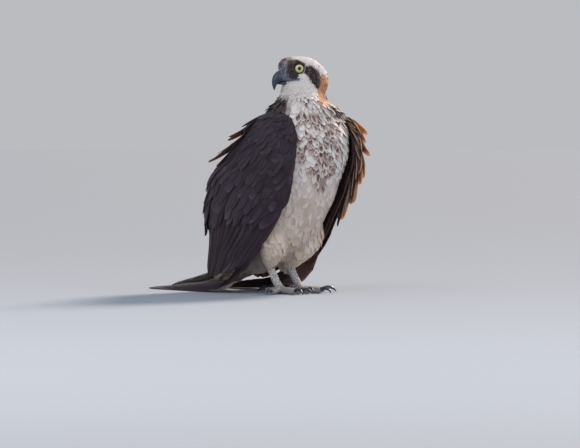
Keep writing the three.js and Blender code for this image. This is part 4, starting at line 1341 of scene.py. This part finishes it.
for label, side in SIDES:
    rows = [(*head_point(f, side * l, h), r) for f, l, h, r in GAPE]
    points, faces = loft(tube(rows, 40, 20))
    tint = np.broadcast_to(MOUTH_BLUE, points.shape)
    keep(make_mesh("mouth_edge_" + label, points, faces, tint), cere_paint.material, "cere")

# %% [markdown]
# ## Horn
# Bill and claws are one stuff: smooth black horn with a blue cast and faint growth marks. One noise moves
# colour, roughness and coat together, which breaks up the shine. A painted picture could do that too, but
# noise needs no unwrap of the curved hook. The claws take the same finish later.

# %% Horn of the bill and claws
horn = Paint("horn", Coat_Roughness=0.15, Specular_IOR_Level=0.5)
growth = horn.noise(70.0, 5.0)
tone = horn.blend(growth.step(0.35, 0.7), (0.010, 0.014, 0.030, 1), (0.024, 0.032, 0.066, 1))
horn.set(Base_Color=tone, Roughness=0.26 + 0.18 * growth, Coat_Weight=0.2 + 0.3 * growth)
horn.bump(growth, 0.15, 0.0006)
points, faces = loft(all_rings[cut:])
keep(make_mesh("beak_upper", points, faces), horn.material, "bill", "bill_upper")
lower = smooth(LOWER_BILL, 22)
lower_rings = [ring(head_point(f, 0, h), HEAD_SIDE, UP, half, deep, deep, 28) for f, h, half, deep in lower]
points, faces = loft(lower_rings)
keep(make_mesh("beak_lower", points, faces), horn.material, "bill", "bill_lower")

# %% [markdown]
# ## Eyes and lids
# The pale yellow iris makes the face. The eyeball is turned about its own axis, with a clear bulge in front
# that catches the light, and its colours follow the distance from that axis. Dark lids close round it, with
# a thin white line at their lower rear edge. A clear shell over the iris would look deeper, but it takes
# longer to render cleanly, so one ball with a thin coat stands for both.

# %% Sizes and colours of the eyes
IRIS_R, PUPIL_R, BULGE_R = 6.8, 2.6, 6.2
EYE_ROWS, EYE_SIDES = 56, 64
IRIS_PALE, IRIS_DEEP = np.array([0.60, 0.575, 0.26]), np.array([0.43, 0.41, 0.17])
IRIS_INNER, PUPIL_BLACK = np.array([0.28, 0.17, 0.04]), np.array([0.004, 0.004, 0.005])
EYE_DARK = np.array([0.018, 0.016, 0.012])


def eye_frame(side):
    """The eye's axis, and the ways to the side and up across it."""
    axis = eye_axis(side)
    u = unit(np.cross(axis, UP))
    return axis, u, np.cross(u, axis)


# %% Eyeballs
def iris_colours(away, turn):
    """Colours of the eyeball by the distance from its axis and the angle round it."""
    rays = 0.5 + 0.5 * np.sin(turn * 23) * np.sin(turn * 9 + 1)
    iris = mix(IRIS_PALE, IRIS_DEEP, (rays * ease(3.0, 5.6, away))[..., None])
    iris = iris * mix(1.0, 0.3, ease(IRIS_R - 1.1, IRIS_R, away))[..., None]
    iris = mix(iris, IRIS_INNER, (0.75 * ease(PUPIL_R + 1.0, PUPIL_R + 0.2, away))[..., None])
    colour = mix(iris, PUPIL_BLACK, ease(PUPIL_R + 0.25, PUPIL_R - 0.1, away)[..., None])
    return mix(colour, EYE_DARK, ease(IRIS_R - 0.1, IRIS_R + 0.3, away)[..., None])


def eye_mesh(side):
    axis, u, v = eye_frame(side)
    polar = np.linspace(0, math.pi, EYE_ROWS)[:, None]
    turn = np.linspace(0, 2 * math.pi, EYE_SIDES, endpoint=False)[None, :]
    bulge = 0.9 * np.exp(-((np.sin(polar) * EYE_R / BULGE_R) ** 2)) * (polar < 1.5)
    out = (EYE_R + bulge) * np.sin(polar)
    ahead = (EYE_R + bulge) * np.cos(polar) + 0 * turn
    points = eye_centre(side) + axis * ahead[..., None]
    points = points + u * (out * np.cos(turn))[..., None] + v * (out * np.sin(turn))[..., None]
    away = np.broadcast_to(EYE_R * np.sin(polar), (EYE_ROWS, EYE_SIDES))
    front = np.broadcast_to(polar < 1.5, away.shape)
    colour = np.where(front[..., None], iris_colours(away, turn), 0.02)
    name = "eyeball_" + ("left" if side > 0 else "right")
    return make_mesh(name, points, grid_faces(1, EYE_ROWS, EYE_SIDES, closed=True), colour)


# %% Lids
LID_TURNS, LID_SIDES = 96, 16
LID_DARK, LID_WHITE = np.array([0.010, 0.010, 0.009]), np.array([0.70, 0.66, 0.62])


def lid_mesh(side):
    """The rim of the lids, a ring that hangs a little over the top of the eye."""
    axis, u, v = eye_frame(side)
    back_way = -side if (u @ HEAD_AXIS) * side > 0 else side
    rings, tints = [], []
    for a in np.linspace(0, 2 * math.pi, LID_TURNS, endpoint=False):
        drop = max(0.0, math.sin(a))
        wide = 7.0 + 0.3 * abs(math.cos(a)) - 0.6 * drop**2
        out = u * math.cos(a) + v * math.sin(a)
        deep = math.sqrt(max(0.0, (EYE_R + 0.25) ** 2 - wide**2))
        centre = eye_centre(side) + out * (wide + 1.2) + axis * (deep - 0.5)
        section = ring(centre, out, axis, 1.5 + 0.3 * drop, 1.1, 1.1, LID_SIDES, 2)
        backward = math.cos(a) * back_way * side
        outer = ((section - centre) @ out) / 1.5
        lower_rear = float(ease(-0.35, 0.1, backward - 0.2)) * float(ease(0.5, -0.1, math.sin(a)))
        white = lower_rear * ease(0.35, 0.7, outer)
        rings.append(section)
        tints.append(mix(LID_DARK, LID_WHITE, white[:, None]))
    one = np.arange(LID_SIDES)
    following = (one + 1) % LID_SIDES
    seam = (LID_TURNS - 1) * LID_SIDES
    last = np.stack([seam + one, seam + following, following, one], -1)
    faces = np.concatenate([grid_faces(1, LID_TURNS, LID_SIDES, closed=True), last])
    return make_mesh("lids_" + ("left" if side > 0 else "right"), np.array(rings), faces, np.array(tints))


# %% Finish of eyes and lids
wet = Paint("wet_eye", Roughness=0.1, Coat_Weight=0.3, Coat_Roughness=0.03, Specular_IOR_Level=0.25)
wet.set(Base_Color=wet.attribute("tint"))
lid_skin = Paint("lid_skin", Roughness=0.65, Specular_IOR_Level=0.25)
wrinkle = lid_skin.noise(800.0, 2.0)
tone = lid_skin.blend(wrinkle * 0.5, lid_skin.attribute("tint"), (0.5, 0.5, 0.5, 1), "MULTIPLY")
lid_skin.set(Base_Color=tone)
lid_skin.bump(wrinkle, 0.5, 0.0005)
for label, side in SIDES:
    keep(eye_mesh(side), wet.material, "eye", "eye_" + label)
    keep(lid_mesh(side), lid_skin.material, "cere")

# %% [markdown]
# ## Legs and feet
# Ospreys have bare, pale, rough legs. The toes swell at each pad, carry rows of scutes on top and end in
# long, evenly curved claws. Tubes are joined into one even surface, so that no seam shows where toes meet,
# and rounded scales are pressed into the mesh and refined in the finish.

# %% Foot sizes
STANCE = 30.0  # from the bird's middle to each leg's, before the left leg's step
PALM = (STANCE, -13.0, 8.5)
TOES = {"inner": (-20, 40), "middle": (8, 47), "outer": (62, 42), "hind": (176, 30)}  # angle and length
TOE_SHAPE = [(0, 8, 6.6), (0.25, 5.8, 5.7), (0.5, 5.5, 4.9), (0.75, 4.7, 5.2), (1, 5.3, 4.2)]
CLAW_SHAPE = [(-3, 5.8, 3.5), (4, 8.2, 3.2), (11, 8.4, 2.6), (17, 5.6, 1.7), (20.5, 0.9, 0.4)]
TARSUS = [  # x, y, z, radius
    (STANCE, 14, 53, 7.4), (STANCE, 13, 46, 7.0), (STANCE, 3, 31, 6.4), (STANCE, -6, 18, 6.4),
    (STANCE, -13, 9.5, 7.1),
]
SOLE = [(STANCE, -6, 8, 5), (STANCE, -13, 6.5, 9), (STANCE, -22, 6, 6)]
FOOT_VOXEL = 0.75
LEG_PALE, TOE_GREY = np.array([0.72, 0.71, 0.71]), np.array([0.40, 0.38, 0.39])
FLOOR_GAP = 0.02
SCUTE_PITCH, SCUTE_DEPTH = 3.2, 0.35


def toe_rows(name, side, shape, by_share):
    """Rows along a toe, by share of its length, or along its claw, by distance past its end."""
    angle, long = TOES[name]
    way = np.array([math.sin(math.radians(angle)), -math.cos(math.radians(angle))])
    rows = []
    for share, z, r in shape:
        out = long * share if by_share else long + share
        rows.append((PALM[0] + way[0] * out, PALM[1] + way[1] * out, z, r))
    return placed(rows, side)


# %% Scutes and the joined foot
def with_scutes(rings):
    """Rings whose size swells a little in steps, like a row of scutes."""
    made, gone = [], 0.0
    for i, one in enumerate(rings):
        centre = one.mean(0)
        gone += np.linalg.norm(centre - rings[max(i - 1, 0)].mean(0))
        raised = SCUTE_DEPTH * (1 - (gone / SCUTE_PITCH) % 1.0)
        out = unit(one - centre)
        made.append(one + out * (raised * ease(-0.2, 0.5, out[:, 2]))[:, None])
    return made


def foot_mesh(side):
    forms = [with_scutes(tube(toe_rows(name, side, TOE_SHAPE, True), 70, 24)) for name in TOES]
    forms.append(tube(placed(TARSUS, side), 40, 24))
    forms.append(tube(placed(SOLE, side), 12, 20))
    thing = join_forms("leg_" + ("left" if side > 0 else "right"), forms, FOOT_VOXEL)
    points, normals = read_points(thing)
    scale = soft_noise(points, 5.5, 7) * soft_noise(points, 3.4, 8)
    points = points + normals * (0.9 * (scale - 0.3))[:, None]
    points[:, 2] = np.maximum(points[:, 2], FLOOR_GAP)
    set_points(thing.data, points)
    on_toes = ease(22, 8, points[:, 2])[:, None]
    set_colour(thing.data, "tint", mix(LEG_PALE, TOE_GREY, on_toes))
    thing.data.update()
    return thing


# %% [markdown]
# ## Scales and claws
# The skin of the foot is rough and dry, with small rounded plates and dark lines between them. A pattern
# of cells in the material draws them finer than the mesh does. The claws are tubes that thin to a point
# and take the horn's finish.

# %% Scales and claws
scales = Paint("foot_scales", Specular_IOR_Level=0.35)
plates = scales.plates(360.0)
spots = scales.noise(60.0, 3.0)
groove = plates.step(0.0, 0.14)
tone = scales.blend(spots.step(0.35, 0.7) * 0.35, scales.attribute("tint"), (0.62, 0.6, 0.56, 1), "MULTIPLY")
scales.set(Base_Color=scales.blend(groove, (0.12, 0.11, 0.11, 1), tone), Roughness=0.75 - 0.15 * groove)
scales.bump(groove, 0.8, 0.0009)
for label, side in SIDES:
    keep(foot_mesh(side), scales.material, "foot", "tarsus_" + label, "foot_" + label)
    for toe in TOES:
        points, faces = loft(tube(toe_rows(toe, side, CLAW_SHAPE, False), 30, 20))
        points[:, 2] = np.maximum(points[:, 2], FLOOR_GAP)
        keep(make_mesh(f"talon_{label}_{toe}", points, faces), horn.material, "claw", f"claw_{label}_{toe}")

# %% [markdown]
# ## Floor, light and camera
# The set is plain: a wide pale floor and a pale sky. A warm light from the bird's left, behind it in the
# picture, rims the crown and the loose feathers, and two large soft lights fill the side that faces the
# camera. The camera stands well back with a long lens, a little above the ground, in front of the bird's
# right side. A sun lamp makes the rim, because its light falls alike on the bird and on the whole floor,
# so no bright pool or horizon shows behind the bird.

# %% Floor
FLOOR_R, FLOOR_SIDES = 40000.0, 96
PAPER_PALE, PAPER_GREY = (0.305, 0.345, 0.410, 1), (0.280, 0.315, 0.375, 1)
turn = np.linspace(0, 2 * math.pi, FLOOR_SIDES, endpoint=False)
disc = np.stack([FLOOR_R * np.cos(turn), FLOOR_R * np.sin(turn), 0 * turn], -1)
floor_points = np.concatenate([disc * 0.05, disc, [[0, 0, 0]]])
one = np.arange(FLOOR_SIDES)
inner = np.stack([one, (one + 1) % FLOOR_SIDES, np.full(FLOOR_SIDES, 2 * FLOOR_SIDES)], -1)
floor = make_mesh("floor", floor_points, [grid_faces(1, 2, FLOOR_SIDES, closed=True)[:, ::-1], inner])
paper = Paint("floor_paper", Roughness=0.9)
paper.set(Base_Color=paper.blend(0.12 * paper.noise(3.0, 3.0), PAPER_PALE, PAPER_GREY))
floor.data.materials.append(paper.material)


# %% Lights
AIM_HEIGHT = 180.0  # the lamps look at the middle of the bird
COOL, WARM = (0.92, 0.95, 1.0), (1.0, 0.86, 0.72)
SKY, SKY_STRENGTH = (0.80, 0.81, 0.85, 1), 0.62
RIM_PLACE, RIM_POWER, RIM_WIDTH = (98, 34), 4.5, math.radians(16)


def look_at(thing, aim):
    thing.rotation_euler = (Vector(aim) - Vector(thing.location)).to_track_quat("-Z", "Y").to_euler()


def direction(azimuth, elevation):
    """From the bird towards a lamp, with azimuth 0 in front of it and 90 on its left."""
    a, e = math.radians(azimuth), math.radians(elevation)
    return np.array([math.sin(a) * math.cos(e), -math.cos(a) * math.cos(e), math.sin(e)])


def area_light(name, azimuth, elevation, distance, size, power):
    back = direction(azimuth, elevation)
    aim = (UP * AIM_HEIGHT + SHIFT) / 1000
    lamp = bpy.data.objects.new(name, bpy.data.lights.new(name, "AREA"))
    lamp.data.size, lamp.data.energy, lamp.data.color = size, power, COOL
    lamp.location = aim + back * distance
    look_at(lamp, aim)
    bpy.context.scene.collection.objects.link(lamp)


area_light("key", -75, 30, 2.8, 2.2, 28)
area_light("fill", 0, 12, 3.0, 2.4, 26)
sun = bpy.data.lights.new("rim", "SUN")
sun.energy, sun.angle, sun.color = RIM_POWER, RIM_WIDTH, WARM
sun_lamp = bpy.data.objects.new("rim", sun)
sun_lamp.rotation_euler = Vector(direction(*RIM_PLACE)).to_track_quat("Z", "Y").to_euler()
bpy.context.scene.collection.objects.link(sun_lamp)

# %% Sky
world = bpy.data.worlds.new("studio")
world.use_nodes = True
sky = world.node_tree.nodes["Background"]
sky.inputs["Color"].default_value = SKY
sky.inputs["Strength"].default_value = SKY_STRENGTH
bpy.context.scene.world = world
print("lamps:", len(bpy.data.lights))

# %% Camera
PIXEL = 1.65  # millimetres at the bird for one pixel of the picture
PICTURE = (580, 448)
BIRD_AXIS_PIXEL = (288, 293)  # where the bird's own origin falls in the picture
AZIMUTH, ELEVATION, DISTANCE = math.radians(-42), math.radians(1.5), 6000.0
SENSOR = 36.0  # width in mm
level = math.cos(ELEVATION)
right = np.array([math.cos(AZIMUTH), math.sin(AZIMUTH), 0.0])
back = np.array([math.sin(AZIMUTH) * level, -math.cos(AZIMUTH) * level, math.sin(ELEVATION)])
off_axis = np.array([PICTURE[0] / 2 - BIRD_AXIS_PIXEL[0], BIRD_AXIS_PIXEL[1] - PICTURE[1] / 2]) * PIXEL
centre = right * off_axis[0] + np.cross(back, right) * off_axis[1]
camera = bpy.data.objects.new("camera", bpy.data.cameras.new("camera"))
camera.location = (centre + back * DISTANCE + SHIFT) / 1000
look_at(camera, (centre + SHIFT) / 1000)
camera.data.sensor_fit = "HORIZONTAL"
camera.data.sensor_width = SENSOR
camera.data.lens = SENSOR * DISTANCE / (PICTURE[0] * PIXEL)
camera.data.clip_end = 100.0
print("lens in mm:", round(camera.data.lens, 1))
bpy.context.scene.collection.objects.link(camera)
bpy.context.scene.camera = camera
bpy.context.scene.view_settings.view_transform = "Standard"
